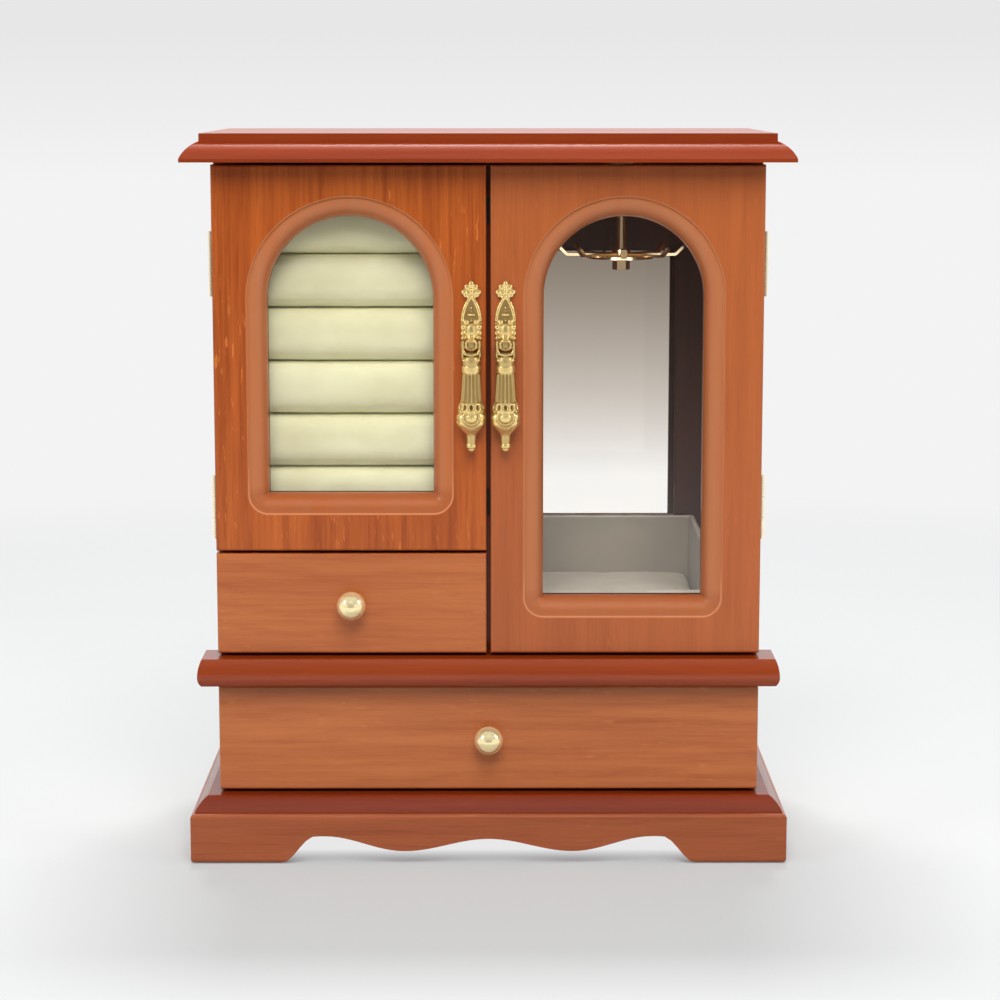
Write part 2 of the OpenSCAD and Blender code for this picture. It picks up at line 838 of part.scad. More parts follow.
// A third of a hinge's height
knuckle_h = hinge_h / 3;

// The leaf that lies on the case's front edge, with the outer knuckles and the pin, on the right
module frame_leaf() {
    block([case_w / 2 - leaf_w, carcass_y - leaf_t, -hinge_h / 2],
          [case_w / 2, carcass_y, hinge_h / 2]);
    for (z = [-hinge_h / 2, hinge_h / 2 - knuckle_h]) {
        translate([pin_x, pin_y, z]) cylinder(r = knuckle_r, h = knuckle_h);
        block([case_w / 2 - eps, carcass_y - leaf_t, z], [pin_x, carcass_y, z + knuckle_h]);
    }
    translate([pin_x, pin_y, -hinge_h / 2]) cylinder(r = pin_r, h = hinge_h, $fn = 32);
}

// The leaf on the door's back, with the middle knuckle, on the right
module door_leaf_plate() {
    h = knuckle_h - 2 * knuckle_gap;
    block([case_w / 2 - leaf_w, front_back_y, -hinge_h / 2],
          [case_w / 2, front_back_y + leaf_t, hinge_h / 2]);
    difference() {
        union() {
            translate([pin_x, pin_y, -h / 2]) cylinder(r = knuckle_r, h = h);
            block([case_w / 2 - eps, front_back_y, -h / 2], [pin_x, front_back_y + leaf_t, h / 2]);
        }
        translate([pin_x, pin_y, -h]) cylinder(r = pin_r + pin_gap, h = 2 * h, $fn = 32);
    }
}

module right_hinge_frames() {
    color(brass)
        for (down = [upper_hinge_down, lower_hinge_down])
            translate([0, 0, crown_z - down]) frame_leaf();
}

module left_hinge_frames() {
    mirror([1, 0, 0]) right_hinge_frames();
}

module right_hinge_leaves() {
    color(brass)
        for (down = [upper_hinge_down, lower_hinge_down])
            translate([0, 0, crown_z - down]) door_leaf_plate();
}

module left_hinge_leaves() {
    mirror([1, 0, 0]) right_hinge_leaves();
}

// ---------- pulls ----------

// The back plate's outline, with its height measured from the pivot
module plate_outline() {
    finial_z = plate_up - 2.2;
    translate([0, finial_z]) circle(2.2);
    for (side = [-1, 1]) {
        translate([side * 2.4, finial_z - 2.2]) circle(1.9);
        translate([side * 2, finial_z - 4.6]) circle(1.7);
        translate([side * 3.5, 6.6]) circle(1.6);
        translate([side * 3.4, 2.8]) circle(1.5);
    }
    polygon([
        [-2.2, finial_z], [2.2, finial_z], [2.6, finial_z - 6], [4.7, 9.4], [4.3, 1], [3, -2.6],
        [-3, -2.6], [-4.3, 1], [-4.7, 9.4], [-2.6, finial_z - 6]
    ]);
}

// The plate on the door, with the eye that the drop hangs from
module right_pull_plate() {
    color(brass) translate([pull_x, 0, pivot_z]) difference() {
        union() {
            translate([0, face_y, 0]) rotate([90, 0, 0]) linear_extrude(plate_t) plate_outline();
            translate([-eye_w / 2, pivot_y, 0]) rotate([0, 90, 0]) cylinder(r = eye_r, h = eye_w);
            block([-eye_w / 2, pivot_y, -eye_r], [eye_w / 2, face_y - plate_t / 2, eye_r]);
        }
        translate([-eye_w, pivot_y, 0]) rotate([0, 90, 0])
            cylinder(r = pivot_r + pin_gap, h = 2 * eye_w);
        // the sunk triangle under the finial
        translate([0, face_y - plate_t + 0.6, 0]) rotate([90, 0, 0]) linear_extrude(plate_t)
            polygon([[0, plate_up - 8.4], [-2.8, 10], [2.8, 10]]);
    }
}

// Radius and height below the pivot along the drop
drop_profile = [
    [0, -3.2], [3.4, -3.2], [3.9, -5.4], [4.1, -6.6], [3, -7.6], [3, -8.8], [4.1, -9.2],
    [4.1, -11.6], [3.7, -11.9], [4.9, -25.2], [5.3, -25.6], [5.3, -26.6], [4.8, -27.2],
    [5.2, -29.4], [6.5, -31.5], [6.5, -34], [5.6, -36.2], [3.2, -38], [2.3, -38.9], [1.9, -43],
    [1.3, -43.6], [1.7, -44.6], [1.2, -46.2], [0, -46.4]
];

// The turned drop, cut flat towards the door and fluted round its column, with two arms that
// reach up beside the eye and the pin between them
module right_pull_drop() {
    arm_x = eye_w / 2 + eye_side_gap;
    shoulder = 6.2;
    flute_lean = atan((4.9 - 3.7) / (25.2 - 11.9));
    color(brass) translate([pull_x, pivot_y, pivot_z]) difference() {
        union() {
            intersection() {
                rotate_extrude() polygon(drop_profile);
                block([-10, -10, -60], [10, pivot_out - drop_back_gap, 10]);
            }
            for (side = [0, 1]) mirror([side, 0, 0]) {
                translate([arm_x, 0, 0]) rotate([0, 90, 0]) cylinder(r = eye_r, h = arm_t);
                block([arm_x, -eye_r, -shoulder], [arm_x + arm_t, eye_r, 0]);
            }
            translate([-arm_x - arm_t / 2, 0, 0]) rotate([0, 90, 0])
                cylinder(r = pivot_r, h = 2 * arm_x + arm_t);
        }
        for (turn = [-150:24:-30])
            rotate(turn) translate([3.95, 0, -12.2]) rotate([0, 180 - flute_lean, 0])
                cylinder(r = 0.45, h = 12.6, $fn = 16);
    }
}

module left_pull_plate() {
    mirror([1, 0, 0]) right_pull_plate();
}

module left_pull_drop() {
    mirror([1, 0, 0]) right_pull_drop();
}

// ---------- drawers ----------

// Each drawer: [left of its bay, right of its bay, floor of its bay, ceiling of its bay]
upper_bay = [-inner_x, -partition_t / 2, floor_z, shelf_z];
lower_bay = [-inner_x, inner_x, lower_bay_z, waist_z];
box_back_y = back_y - drawer_back_gap;

function box_left(bay) = bay[0] + drawer_side_gap;
function box_right(bay) = bay[1] - drawer_side_gap;
function box_low(bay) = bay[2] + drawer_under_gap;
function box_high(bay) = bay[3] - drawer_over_gap;
function bottom_low(bay) = box_low(bay) + groove_up;
function bottom_high(bay) = bottom_low(bay) + drawer_bottom_t;

// The panel under a drawer, with its edges in the grooves
module drawer_bottom(bay) {
    color(raw_board)
        block([box_left(bay) + drawer_wall - groove_d, front_back_y, bottom_low(bay)],
              [box_right(bay) - drawer_wall + groove_d, box_back_y, bottom_high(bay)]);
}

module drawer_left(bay) {
    color(raw_board) difference() {
        block([box_left(bay), front_back_y, box_low(bay)],
              [box_left(bay) + drawer_wall, box_back_y, box_high(bay)]);
        drawer_bottom(bay);
    }
}

module drawer_right(bay) {
    color(raw_board) difference() {
        block([box_right(bay) - drawer_wall, front_back_y, box_low(bay)],
              [box_right(bay), box_back_y, box_high(bay)]);
        drawer_bottom(bay);
    }
}

// The back stands on the bottom panel, between the sides
module drawer_back(bay) {
    color(raw_board)
        block([box_left(bay) + drawer_wall, box_back_y - drawer_wall, bottom_high(bay)],
              [box_right(bay) - drawer_wall, box_back_y, box_high(bay)]);
}

// Lies on the bottom, between the walls
module drawer_lining(bay) {
    edge = drawer_wall + soft_gap;
    color(cream)
        block([box_left(bay) + edge, front_back_y + soft_gap, bottom_high(bay)],
              [box_right(bay) - edge, box_back_y - edge, bottom_high(bay) + lining_t]);
}

// A turned knob: a short neck and a ball cut flat where the neck joins it
module knob(x, z) {
    ball = knob_out - knob_r;
    color(brass) translate([x, face_y, z]) rotate([90, 0, 0]) union() {
        cylinder(r = knob_neck_r, h = ball);
        rotate_extrude() intersection() {
            translate([0, ball]) circle(knob_r);
            translate([0, knob_neck]) square([knob_r, knob_out]);
        }
    }
}

module upper_drawer_front() {
    color(wood) eased_front(-case_w / 2, -leaf_inner_x, floor_z + reveal, split_z - reveal / 2);
}

module upper_drawer_knob() {
    knob(-(case_w / 2 + leaf_inner_x) / 2, (floor_z + reveal + split_z - reveal / 2) / 2);
}

module lower_drawer_front() {
    color(wood) eased_front(-case_w / 2, case_w / 2, lower_bay_z + reveal, waist_z - reveal);
}

module lower_drawer_knob() {
    knob(0, (lower_bay_z + waist_z) / 2);
}

front_apron();
back_apron();
left_apron();
right_apron();
corner_blocks();
base_board();
left_side();
right_side();
back_panel();
waist_board();
partition();
shelf();
crown_board();
mirror_pane();  // mirror
ring_tray();
ring_roll(1);  // ring_roll_1
ring_roll(2);  // ring_roll_2
ring_roll(3);  // ring_roll_3
ring_roll(4);  // ring_roll_4
ring_roll(5);  // ring_roll_5
ring_roll(6);  // ring_roll_6
pouch_shell();
pouch_pad();
carousel_plate();
door_magnets();
left_hinge_frames();
right_hinge_frames();
carousel_spindle();
carousel_disc();
carousel_hooks();
carousel_cap();
left_door();
left_glass();
left_bead();
left_hinge_leaves();
left_strikes();
left_pull_plate();
left_pull_drop();
right_door();
right_glass();
right_bead();
right_hinge_leaves();
right_strikes();
right_pull_plate();
right_pull_drop();
upper_drawer_front();
drawer_left(upper_bay);  // upper_drawer_left
drawer_right(upper_bay);  // upper_drawer_right
drawer_back(upper_bay);  // upper_drawer_back
drawer_bottom(upper_bay);  // upper_drawer_bottom
drawer_lining(upper_bay);  // upper_drawer_lining
upper_drawer_knob();
lower_drawer_front();
drawer_left(lower_bay);  // lower_drawer_left
drawer_right(lower_bay);  // lower_drawer_right
drawer_back(lower_bay);  // lower_drawer_back
drawer_bottom(lower_bay);  // lower_drawer_bottom
drawer_lining(lower_bay);  // lower_drawer_lining
lower_drawer_knob();
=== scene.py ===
# %% [markdown]
# # A table-top jewelry cabinet
# It is a small piece of furniture: lacquered cherry boards, two doors with arched panes, two
# drawers, velvet rolls for rings, a padded pouch and a brass carousel for necklaces.
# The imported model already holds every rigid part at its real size. This lesson lights a small
# studio, gives each part its finish, and builds the soft and the cast pieces.

import json
import math

import bmesh
import bpy
from mathutils import Matrix, Vector, noise

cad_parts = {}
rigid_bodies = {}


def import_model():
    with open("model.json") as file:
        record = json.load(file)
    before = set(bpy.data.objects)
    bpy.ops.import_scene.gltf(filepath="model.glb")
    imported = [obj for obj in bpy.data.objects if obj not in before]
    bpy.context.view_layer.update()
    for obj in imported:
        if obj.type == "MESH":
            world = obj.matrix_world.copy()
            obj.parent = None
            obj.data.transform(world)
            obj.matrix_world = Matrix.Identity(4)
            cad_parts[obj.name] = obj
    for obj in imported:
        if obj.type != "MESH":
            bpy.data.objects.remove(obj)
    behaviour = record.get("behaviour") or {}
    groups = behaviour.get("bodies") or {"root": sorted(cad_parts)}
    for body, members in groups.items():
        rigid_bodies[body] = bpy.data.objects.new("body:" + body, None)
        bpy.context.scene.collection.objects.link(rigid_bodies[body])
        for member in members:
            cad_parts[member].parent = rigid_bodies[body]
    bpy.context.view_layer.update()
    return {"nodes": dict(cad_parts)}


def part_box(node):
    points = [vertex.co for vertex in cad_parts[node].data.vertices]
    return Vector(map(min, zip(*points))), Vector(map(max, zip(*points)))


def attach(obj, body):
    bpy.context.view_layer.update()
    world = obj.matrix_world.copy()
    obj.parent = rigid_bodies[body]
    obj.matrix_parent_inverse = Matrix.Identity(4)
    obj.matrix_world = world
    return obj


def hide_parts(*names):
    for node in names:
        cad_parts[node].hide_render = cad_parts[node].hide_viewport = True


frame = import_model()
nodes = frame["nodes"]
scene = bpy.context.scene
MM = 0.001

# %% [markdown]
# ## The camera
# A camera with a long lens stands a little over a metre in front of the doors, slightly above
# the crown, and looks down by nine degrees. The long lens keeps the uprights nearly parallel. A
# constraint could aim it, but two plain angles are easier to read.

# %% Place the camera
CAMERA_AT = (0.002, -1.197, 0.336)
CAMERA_DOWN = 8.876
CAMERA_RIGHT = 0.151
LENS_MM = 95.6

camera_data = bpy.data.cameras.new("product_camera")
camera_data.lens = LENS_MM
camera_data.sensor_width = 36
camera = bpy.data.objects.new("product_camera", camera_data)
camera.location = CAMERA_AT
camera.rotation_euler = (math.radians(90 - CAMERA_DOWN), 0, math.radians(-CAMERA_RIGHT))
scene.collection.objects.link(camera)
scene.camera = camera
scene.view_settings.view_transform = "Standard"
print("camera looks down by", CAMERA_DOWN, "degrees")

# %% [markdown]
# ## A short way to write shader nodes
# Every finish is a graph of shader nodes, and written out in full a node takes four or five
# lines. One helper adds a node and fills its sockets, so that a graph reads like a recipe. A
# socket that is given a node or its output is linked; any other value is set on it directly.

# %% Helpers for shader graphs
def rgb(red, green, blue):
    """A screen colour of 0 to 255 as the linear colour that shaders use."""
    linear = [c / 12.92 if c <= 0.04045 else ((c + 0.055) / 1.055) ** 2.4
              for c in (red / 255, green / 255, blue / 255)]
    return (*linear, 1)


def add(tree, kind, sockets=None, **settings):
    """Adds a shader node; sockets maps names or numbers to what they get."""
    node = tree.nodes.new("ShaderNode" + kind)
    for name, value in settings.items():
        setattr(node, name, value)
    for key, value in (sockets or {}).items():
        if isinstance(value, bpy.types.Node):
            value = value.outputs[0]
        if isinstance(value, bpy.types.NodeSocket):
            tree.links.new(value, node.inputs[key])
        else:
            node.inputs[key].default_value = value
    return node


def blend(tree, factor, first, second, way="MIX"):
    """Mixes two colours; factor 0 gives the first."""
    node = add(tree, "Mix", {0: factor, 6: first, 7: second}, data_type="RGBA", blend_type=way)
    return node.outputs[2]


def calc(tree, how, first, second=0.0):
    """One step of arithmetic on two numbers or outputs."""
    return add(tree, "Math", {0: first, 1: second}, operation=how).outputs[0]


def times(tree, first, second):
    """The product of two numbers or outputs."""
    return calc(tree, "MULTIPLY", first, second)


def ramp(tree, value, low, high, start=0.0, end=1.0):
    """Maps low..high to start..end and holds the ends."""
    node = add(tree, "MapRange", {0: value, 1: low, 2: high, 3: start, 4: end}, clamp=True)
    return node.outputs[0]


def object_point(tree):
    """Where a point lies on its piece, in metres."""
    return add(tree, "TexCoord").outputs["Object"]


def millimetres(tree):
    """The same point as three outputs, X, Y and Z, in millimetres."""
    axes = add(tree, "SeparateXYZ", {0: object_point(tree)}).outputs
    return [times(tree, axis, 1 / MM) for axis in axes]


def length(tree, first, second):
    """The long side of a right-angled triangle."""
    squares = [calc(tree, "POWER", side, 2.0) for side in (first, second)]
    return calc(tree, "SQRT", calc(tree, "ADD", *squares))


def streaks(tree, per_metre, seed, detail=3.0, rough=0.55):
    """Noise with its own number of cells per metre along X, Y and Z."""
    place = add(tree, "Mapping", {"Vector": object_point(tree), "Location": (seed, seed, seed),
                                  "Scale": per_metre})
    return add(tree, "TexNoise", {"Vector": place, "Scale": 1.0, "Detail": detail,
                                  "Roughness": rough}).outputs[0]


def mix(tree, share, first, second):
    """Mixes two shaders; share 0 gives the first."""
    return add(tree, "MixShader", {0: share, 1: first, 2: second})


def new_material(name):
    """An empty material, with its node tree and its output node."""
    material = bpy.data.materials.new(name)
    material.use_nodes = True
    material.node_tree.nodes.clear()
    return material, material.node_tree, add(material.node_tree, "OutputMaterial")


print("helpers ready")

# %% [markdown]
# ## One ending for most materials
# Nearly every finish ends in a Principled shader. Colour, roughness and bump change from point
# to point and come in as links. What is the same all over is set on the shader itself, because
# an exporter reads plain values more surely than links.

# %% The Principled ending
def surface(tree, output, colour, roughness, bump=None, bump_mm=0.02, **fixed):
    """Ends a graph in one Principled shader; fixed values go straight on its sockets."""
    sockets = {key.replace("_", " ").title().replace("Ior", "IOR"): value
               for key, value in fixed.items()}
    if bump is not None:
        sockets["Normal"] = add(tree, "Bump", {"Height": bump, "Distance": bump_mm * MM,
                                               "Strength": 1.0})
    shader = add(tree, "BsdfPrincipled", {"Base Color": colour, "Roughness": roughness,
                                          **sockets})
    tree.links.new(shader.outputs[0], output.inputs[0])
    return shader


print("ending ready")

# %% [markdown]
# ## The studio
# The cabinet stands on a pale sweep. Near the cabinet the floor is a real surface that takes the
# shadow. To the camera, a painted glow of the backdrop's colour covers a fifth of it, and most of
# it under the cabinet, where it paints light over the cabinet's shade. Further out the floor
# fades into that plain glow, so no horizon shows.
# Polished brass and the mirror are only as good as what they reflect, so their rays see a floor
# that darkens with distance in front, as a real studio does beyond its lamps.

# %% Lay the floor
BACKDROP = rgb(243, 243, 244)
FLOOR_COLOUR = rgb(190, 192, 192)
FLOOR_HALF = 8.0
REAL_FLOOR_TO = 0.42
GLOW_FROM = 1.0
# Shares of plain glow painted over the real floor: near the cabinet, and under it.
NEAR_FLOOR_GLOW = 0.2
UNDER_BOX_GLOW = 0.9
UNDER_HALF_X, UNDER_HALF_Y = 0.115, 0.062
GLOW, GLOW_NEAREST, GLOW_MOST = 1.16, 0.06, 1.12
GLOW_FAR, GLOW_NEAR = (0.98, 0.83, 0.69, 1), (0.99, 0.985, 0.975, 1)


def glow_in_front(tree):
    """The floor as a mirror sees it: it falls off with distance before the doors."""
    depth = add(tree, "SeparateXYZ", {0: object_point(tree)}).outputs[1]
    distance = calc(tree, "MAXIMUM", times(tree, depth, -1.0), 0.0)
    near = calc(tree, "DIVIDE", GLOW, calc(tree, "ADD", distance, GLOW_NEAREST))
    level = calc(tree, "MINIMUM", near, GLOW_MOST)
    tint = blend(tree, ramp(tree, level, 0.3, 1.05), GLOW_FAR, GLOW_NEAR)
    return add(tree, "Emission", {"Color": tint, "Strength": level})


def pale_floor():
    """Real with painted glow near and under the cabinet, backdrop far off, graded glow for
    reflections.
    """
    material, tree, output = new_material("pale_floor")
    real = add(tree, "BsdfDiffuse", {"Color": FLOOR_COLOUR})
    plain = add(tree, "Emission", {"Color": BACKDROP})
    away = add(tree, "VectorMath", {0: object_point(tree)}, operation="LENGTH").outputs["Value"]
    axes = add(tree, "SeparateXYZ", {0: object_point(tree)}).outputs
    past = [calc(tree, "SUBTRACT", calc(tree, "ABSOLUTE", axis), half)
            for axis, half in zip(axes, (UNDER_HALF_X, UNDER_HALF_Y))]
    beside = calc(tree, "MAXIMUM", *past)
    # How much plain glow paints over the real floor; under the cabinet it paints light over its
    # shade.
    glow_share = calc(tree, "MAXIMUM", ramp(tree, away, REAL_FLOOR_TO, GLOW_FROM, NEAR_FLOOR_GLOW),
                ramp(tree, beside, 0.015, -0.01, 0.0, UNDER_BOX_GLOW))
    mirrored = mix(tree, ramp(tree, away, 0.3, 0.6), real, glow_in_front(tree))
    path = add(tree, "LightPath").outputs
    seen = mix(tree, path["Is Camera Ray"], real, mix(tree, glow_share, real, plain))
    floor_shader = mix(tree, path["Is Glossy Ray"], seen, mirrored)
    tree.links.new(floor_shader.outputs[0], output.inputs[0])
    return material


bpy.ops.mesh.primitive_plane_add(size=2 * FLOOR_HALF, location=(0, 0, -0.0002))
floor = bpy.context.object
floor.name = "studio_floor"
floor.data.materials.append(pale_floor())
print("floor of", 2 * FLOOR_HALF, "metres")

# %% [markdown]
# ## The sky
# The world gives an even fill. To the camera it is the backdrop; to brass and lacquer it is
# dark at eye level in front, where the photographer stands, and bright behind the cabinet.
# An image of a real studio would do the same, but a graph of ramps stays editable.

# %% Fill the sky
BACKDROP_TOP = rgb(231, 231, 232)
AMBIENT = 0.3
BEHIND, BESIDE = 0.95, 0.9


def studio_sky():
    """White fill for the light, a graded room for gloss, plain paper for the camera."""
    world = bpy.data.worlds.new("studio_sky")
    scene.world = world
    world.use_nodes = True
    tree = world.node_tree
    tree.nodes.clear()
    axes = add(tree, "SeparateXYZ", {0: add(tree, "TexCoord").outputs["Generated"]}).outputs
    overhead = ramp(tree, axes[2], 0.1, 0.6, 0.16, 0.5)
    behind = ramp(tree, axes[1], -0.2, 0.35)
    level = calc(tree, "ADD", times(tree, behind, BEHIND),
                 times(tree, overhead, calc(tree, "SUBTRACT", 1.0, behind)))
    beside = ramp(tree, calc(tree, "ABSOLUTE", axes[0]), 0.3, 0.5, 0.0, BESIDE)
    low_down = ramp(tree, axes[2], 0.5, 0.3)
    level = calc(tree, "MAXIMUM", level, times(tree, beside, low_down))
    path = add(tree, "LightPath").outputs
    fill = add(tree, "Background", {"Color": (1, 1, 1, 1), "Strength": AMBIENT})
    graded = add(tree, "Background", {"Color": (1, 1, 1, 1), "Strength": level})
    paper = blend(tree, ramp(tree, axes[2], -0.035, 0.02), BACKDROP, BACKDROP_TOP)
    plain = add(tree, "Background", {"Color": paper, "Strength": 1.0})
    lit = mix(tree, path["Is Glossy Ray"], fill, graded)
    shown = calc(tree, "MAXIMUM", path["Is Camera Ray"], path["Is Transmission Ray"])
    add(tree, "OutputWorld", {0: mix(tree, shown, lit, plain)})


studio_sky()
print("sky fill of", AMBIENT)

# %% [markdown]
# ## The lamps
# Two softboxes left and right make the twin highlights on every knob, a wide panel above the
# camera lights the doors, and one behind throws a short shadow forward. In the dark cupboard
# polished hooks would look black, so three cards that light nothing are linked to them alone and
# give them something bright to reflect.

# %% Hang the softboxes and the cards
AIM = Vector((0, 0, 0.16))
HOOKS = "carousel_disc carousel_hooks"


def panel(name, place, width, height, watts, mirrored=True, only_for=""):
    """A softbox that faces the cabinet, unseen by the camera. One made only for some nodes is
    a card: it lights nothing, and just their polish shows it."""
    lamp = bpy.data.lights.new(name, "AREA")
    lamp.shape = "RECTANGLE"
    lamp.size, lamp.size_y = width, height
    lamp.energy = watts
    holder = bpy.data.objects.new(name, lamp)
    holder.location = place
    holder.rotation_euler = (AIM - Vector(place)).to_track_quat("-Z", "Y").to_euler()
    holder.visible_camera = False
    holder.visible_glossy = mirrored
    if only_for:
        holder.visible_diffuse = False
        shown_in = bpy.data.collections.new(name)
        for node in only_for.split():
            shown_in.objects.link(nodes[node])
        holder.light_linking.receiver_collection = shown_in
    scene.collection.objects.link(holder)


panel("left_softbox", (-1.04, -0.67, 0.81), 0.34, 0.46, 3)
panel("right_softbox", (1.19, -0.34, 0.81), 0.34, 0.46, 3)
panel("front_panel", (0.05, -1.42, 1.65), 1.2, 1.4, 40, mirrored=False)
panel("rear_panel", (0, 0.55, 1.5), 0.5, 0.3, 24)
panel("left_card", (-0.45, -0.8, 0.3), 0.5, 0.6, 6.0, only_for=HOOKS)
panel("right_card", (0.6, -0.8, 0.3), 0.5, 0.6, 6.0, only_for=HOOKS)
panel("middle_card", (0.06, -0.9, 0.16), 0.5, 0.2, 0.6, only_for=HOOKS)
print("four softboxes, three cards")

# %% [markdown]
# ## Lacquered cherry
# The case is cherry-stained wood under clear lacquer. Real boards show four scales of pattern:
# a slow drift of tone, growth bands a few millimetres wide, hair-fine streaks, and short pores
# and flecks. Each is one noise stretched along the grain. An image of wood would tile and blur;
# noise in the piece's own metres never does. The lacquer is the shader's coat, a second glossy
# layer over the colour.

# %% Grain of a board
def along(grain, across, lengthwise):
    """Cells per metre: lengthwise along the grain axis, across on the other two."""
    return tuple(lengthwise if axis == grain else across for axis in "XYZ")


def cathedral(tree, grain, centre, seed):
    """Nested arches of a board sawn beside the heart: 1 on their dark lines."""
    pitch, squeeze = 8.0, 0.11
    x, _, z = millimetres(tree)
    long_axis, short_axis = (z, x) if grain == "Z" else (x, z)
    lengthwise = times(tree, calc(tree, "SUBTRACT", long_axis, centre[0]), squeeze)
    across = calc(tree, "SUBTRACT", short_axis, centre[1])
    wander = times(tree, streaks(tree, along(grain, 32, 12), seed, 3), 26.0)
    reach = calc(tree, "ADD", length(tree, lengthwise, across), wander)
    turns = times(tree, reach, 2 * math.pi / pitch)
    return ramp(tree, calc(tree, "SINE", turns), 0.25, 1.0)


def board_colour(tree, grain, light, dark, seed, contrast, flecks, figure):
    """The stained board's colour, bands, streaks and pores."""
    drift = streaks(tree, along(grain, 28, 5), seed, 2)
    bands = streaks(tree, along(grain, 150, 7), seed + 3, 4, 0.6)
    fine = streaks(tree, along(grain, 900, 28), seed + 5, 3, 0.65)
    pores = ramp(tree, streaks(tree, along(grain, 2100, 110), seed + 7, 2), 0.64, 0.72)
    dashes = streaks(tree, along(grain, 620, 120), seed + 9, 2)
    zone = ramp(tree, streaks(tree, along(grain, 45, 22), seed + 11, 1), 0.46, 0.62)
    pale = times(tree, ramp(tree, dashes, 0.62, 0.70), zone)

    banded = times(tree, ramp(tree, bands, 0.40, 0.66), 0.55 * contrast)
    lined = times(tree, ramp(tree, fine, 0.42, 0.68), 0.42 * contrast)
    depth = calc(tree, "ADD", calc(tree, "ADD", banded, lined),
                 times(tree, ramp(tree, drift, 0.3, 0.7), 0.35))
    if figure:
        arches = cathedral(tree, grain, figure, seed + 13)
        depth = calc(tree, "ADD", depth, times(tree, arches, 0.13))
    colour = blend(tree, calc(tree, "MINIMUM", depth, 1.15), light, dark)
    in_pores = (dark[0] * 0.45, dark[1] * 0.35, dark[2] * 0.3, 1)
    colour = blend(tree, times(tree, pores, 0.35 * contrast), colour, in_pores)
    in_flecks = (min(1, light[0] * 1.5), light[1] * 1.9, light[2] * 2.4, 1)
    colour = blend(tree, times(tree, pale, flecks), colour, in_flecks)
    return colour, bands, fine, pores


print("grain ready")

# %% [markdown]
# ## Mouldings and grooves
# A router cuts the band round each arched window, so it is smoother than the door and shows
# other layers of the wood; its paler, pinker tone is partly that wood and partly a painted sheen.
# Painted shade darkens the band at the pane and towards the sill, and a painted highlight runs
# along its outer rim, strongest at the bottom. In the groove over the crown's round, painted
# shade darkens the colour and no polish reaches in. The boards stay one mesh each, so both are
# worked out from where a point lies.

# %% Window moulding and groove
MOULDING_W = 9.0
# The routed band's tone, partly the cut wood and partly a painted sheen, and the painted
# highlight on its rim.
ROUTED_AND_SHEEN = rgb(174, 106, 66)
RIM_HIGHLIGHT = rgb(222, 150, 102)


def beside_window(tree, middle, half, spring, sill):
    """Distance from an arched window's edge, in millimetres."""
    x, _, z = millimetres(tree)
    side = calc(tree, "ABSOLUTE", calc(tree, "SUBTRACT", x, middle))
    rise = calc(tree, "MAXIMUM", calc(tree, "SUBTRACT", z, spring), 0.0)
    outside = calc(tree, "SUBTRACT", length(tree, side, rise), half)
    below = calc(tree, "MAXIMUM", calc(tree, "SUBTRACT", sill, z), 0.0)
    return length(tree, calc(tree, "MAXIMUM", outside, 0.0), below)


def routed_band(tree, colour, bands, light, dark, window):
    """The board's colour with the moulding round its window, and its painted shade and highlight,
    worked in.
    """
    away, height, sill = beside_window(tree, *window), millimetres(tree)[2], window[3]
    # The routed tone is partly the cut wood and partly a painted sheen on the band.
    smooth = blend(tree, ramp(tree, bands, 0.35, 0.7, 0.0, 0.5), ROUTED_AND_SHEEN, light)
    # Painted shade: darker within a few millimetres of the pane.
    smooth = blend(tree, ramp(tree, away, 3.5, 1.0, 0.0, 0.3), smooth, dark)
    # Painted shade: darker towards the sill, where the band faces up into the light.
    shaded = ramp(tree, height, sill + 4, sill, 0.0, 0.35)
    smooth = blend(tree, shaded, smooth, dark)
    colour = blend(tree, ramp(tree, away, MOULDING_W, MOULDING_W - 0.4), colour, smooth)
    # Painted highlight: a pale line along the band's outer rim, strongest near the sill.
    rim = times(tree, ramp(tree, away, 7.9, 8.3), ramp(tree, away, 8.9, 8.5))
    wear_and_highlight = ramp(tree, height, sill + 14, sill, 0.22, 0.7)
    return blend(tree, times(tree, rim, wear_and_highlight), colour, RIM_HIGHLIGHT)


def shade_and_dull_groove(tree, shader, low, high, gloss, dark):
    """Paints shade into a level groove and takes its polish away; heights in millimetres."""
    height = millimetres(tree)[2]
    dull = times(tree, ramp(tree, height, low, low + 0.5),
                 ramp(tree, height, high, high - 0.2))
    colour, roughness = [shader.inputs[name].links[0].from_socket
                         for name in ("Base Color", "Roughness")]
    # Painted shade: the groove's colour is darkened towards the dark tone.
    shaded_colour = blend(tree, times(tree, dull, 0.6), colour, dark)
    polish = times(tree, calc(tree, "SUBTRACT", 1.0, dull), gloss)
    tree.links.new(shaded_colour, shader.inputs["Base Color"])
    tree.links.new(calc(tree, "MAXIMUM", roughness, dull), shader.inputs["Roughness"])
    tree.links.new(polish, shader.inputs["Coat Weight"])


print("moulding", MOULDING_W, "mm wide")

# %% [markdown]
# ## The woods
# One recipe makes every board; the tones, the grain's direction and the gloss differ. The crown
# and the base were stained darkest, the drawer fronts lightest. A seed shifts the noise, so
# that no two boards show the same figure. A window is given as the arch's middle, its half
# width, the height where the arch springs and the height of the sill.

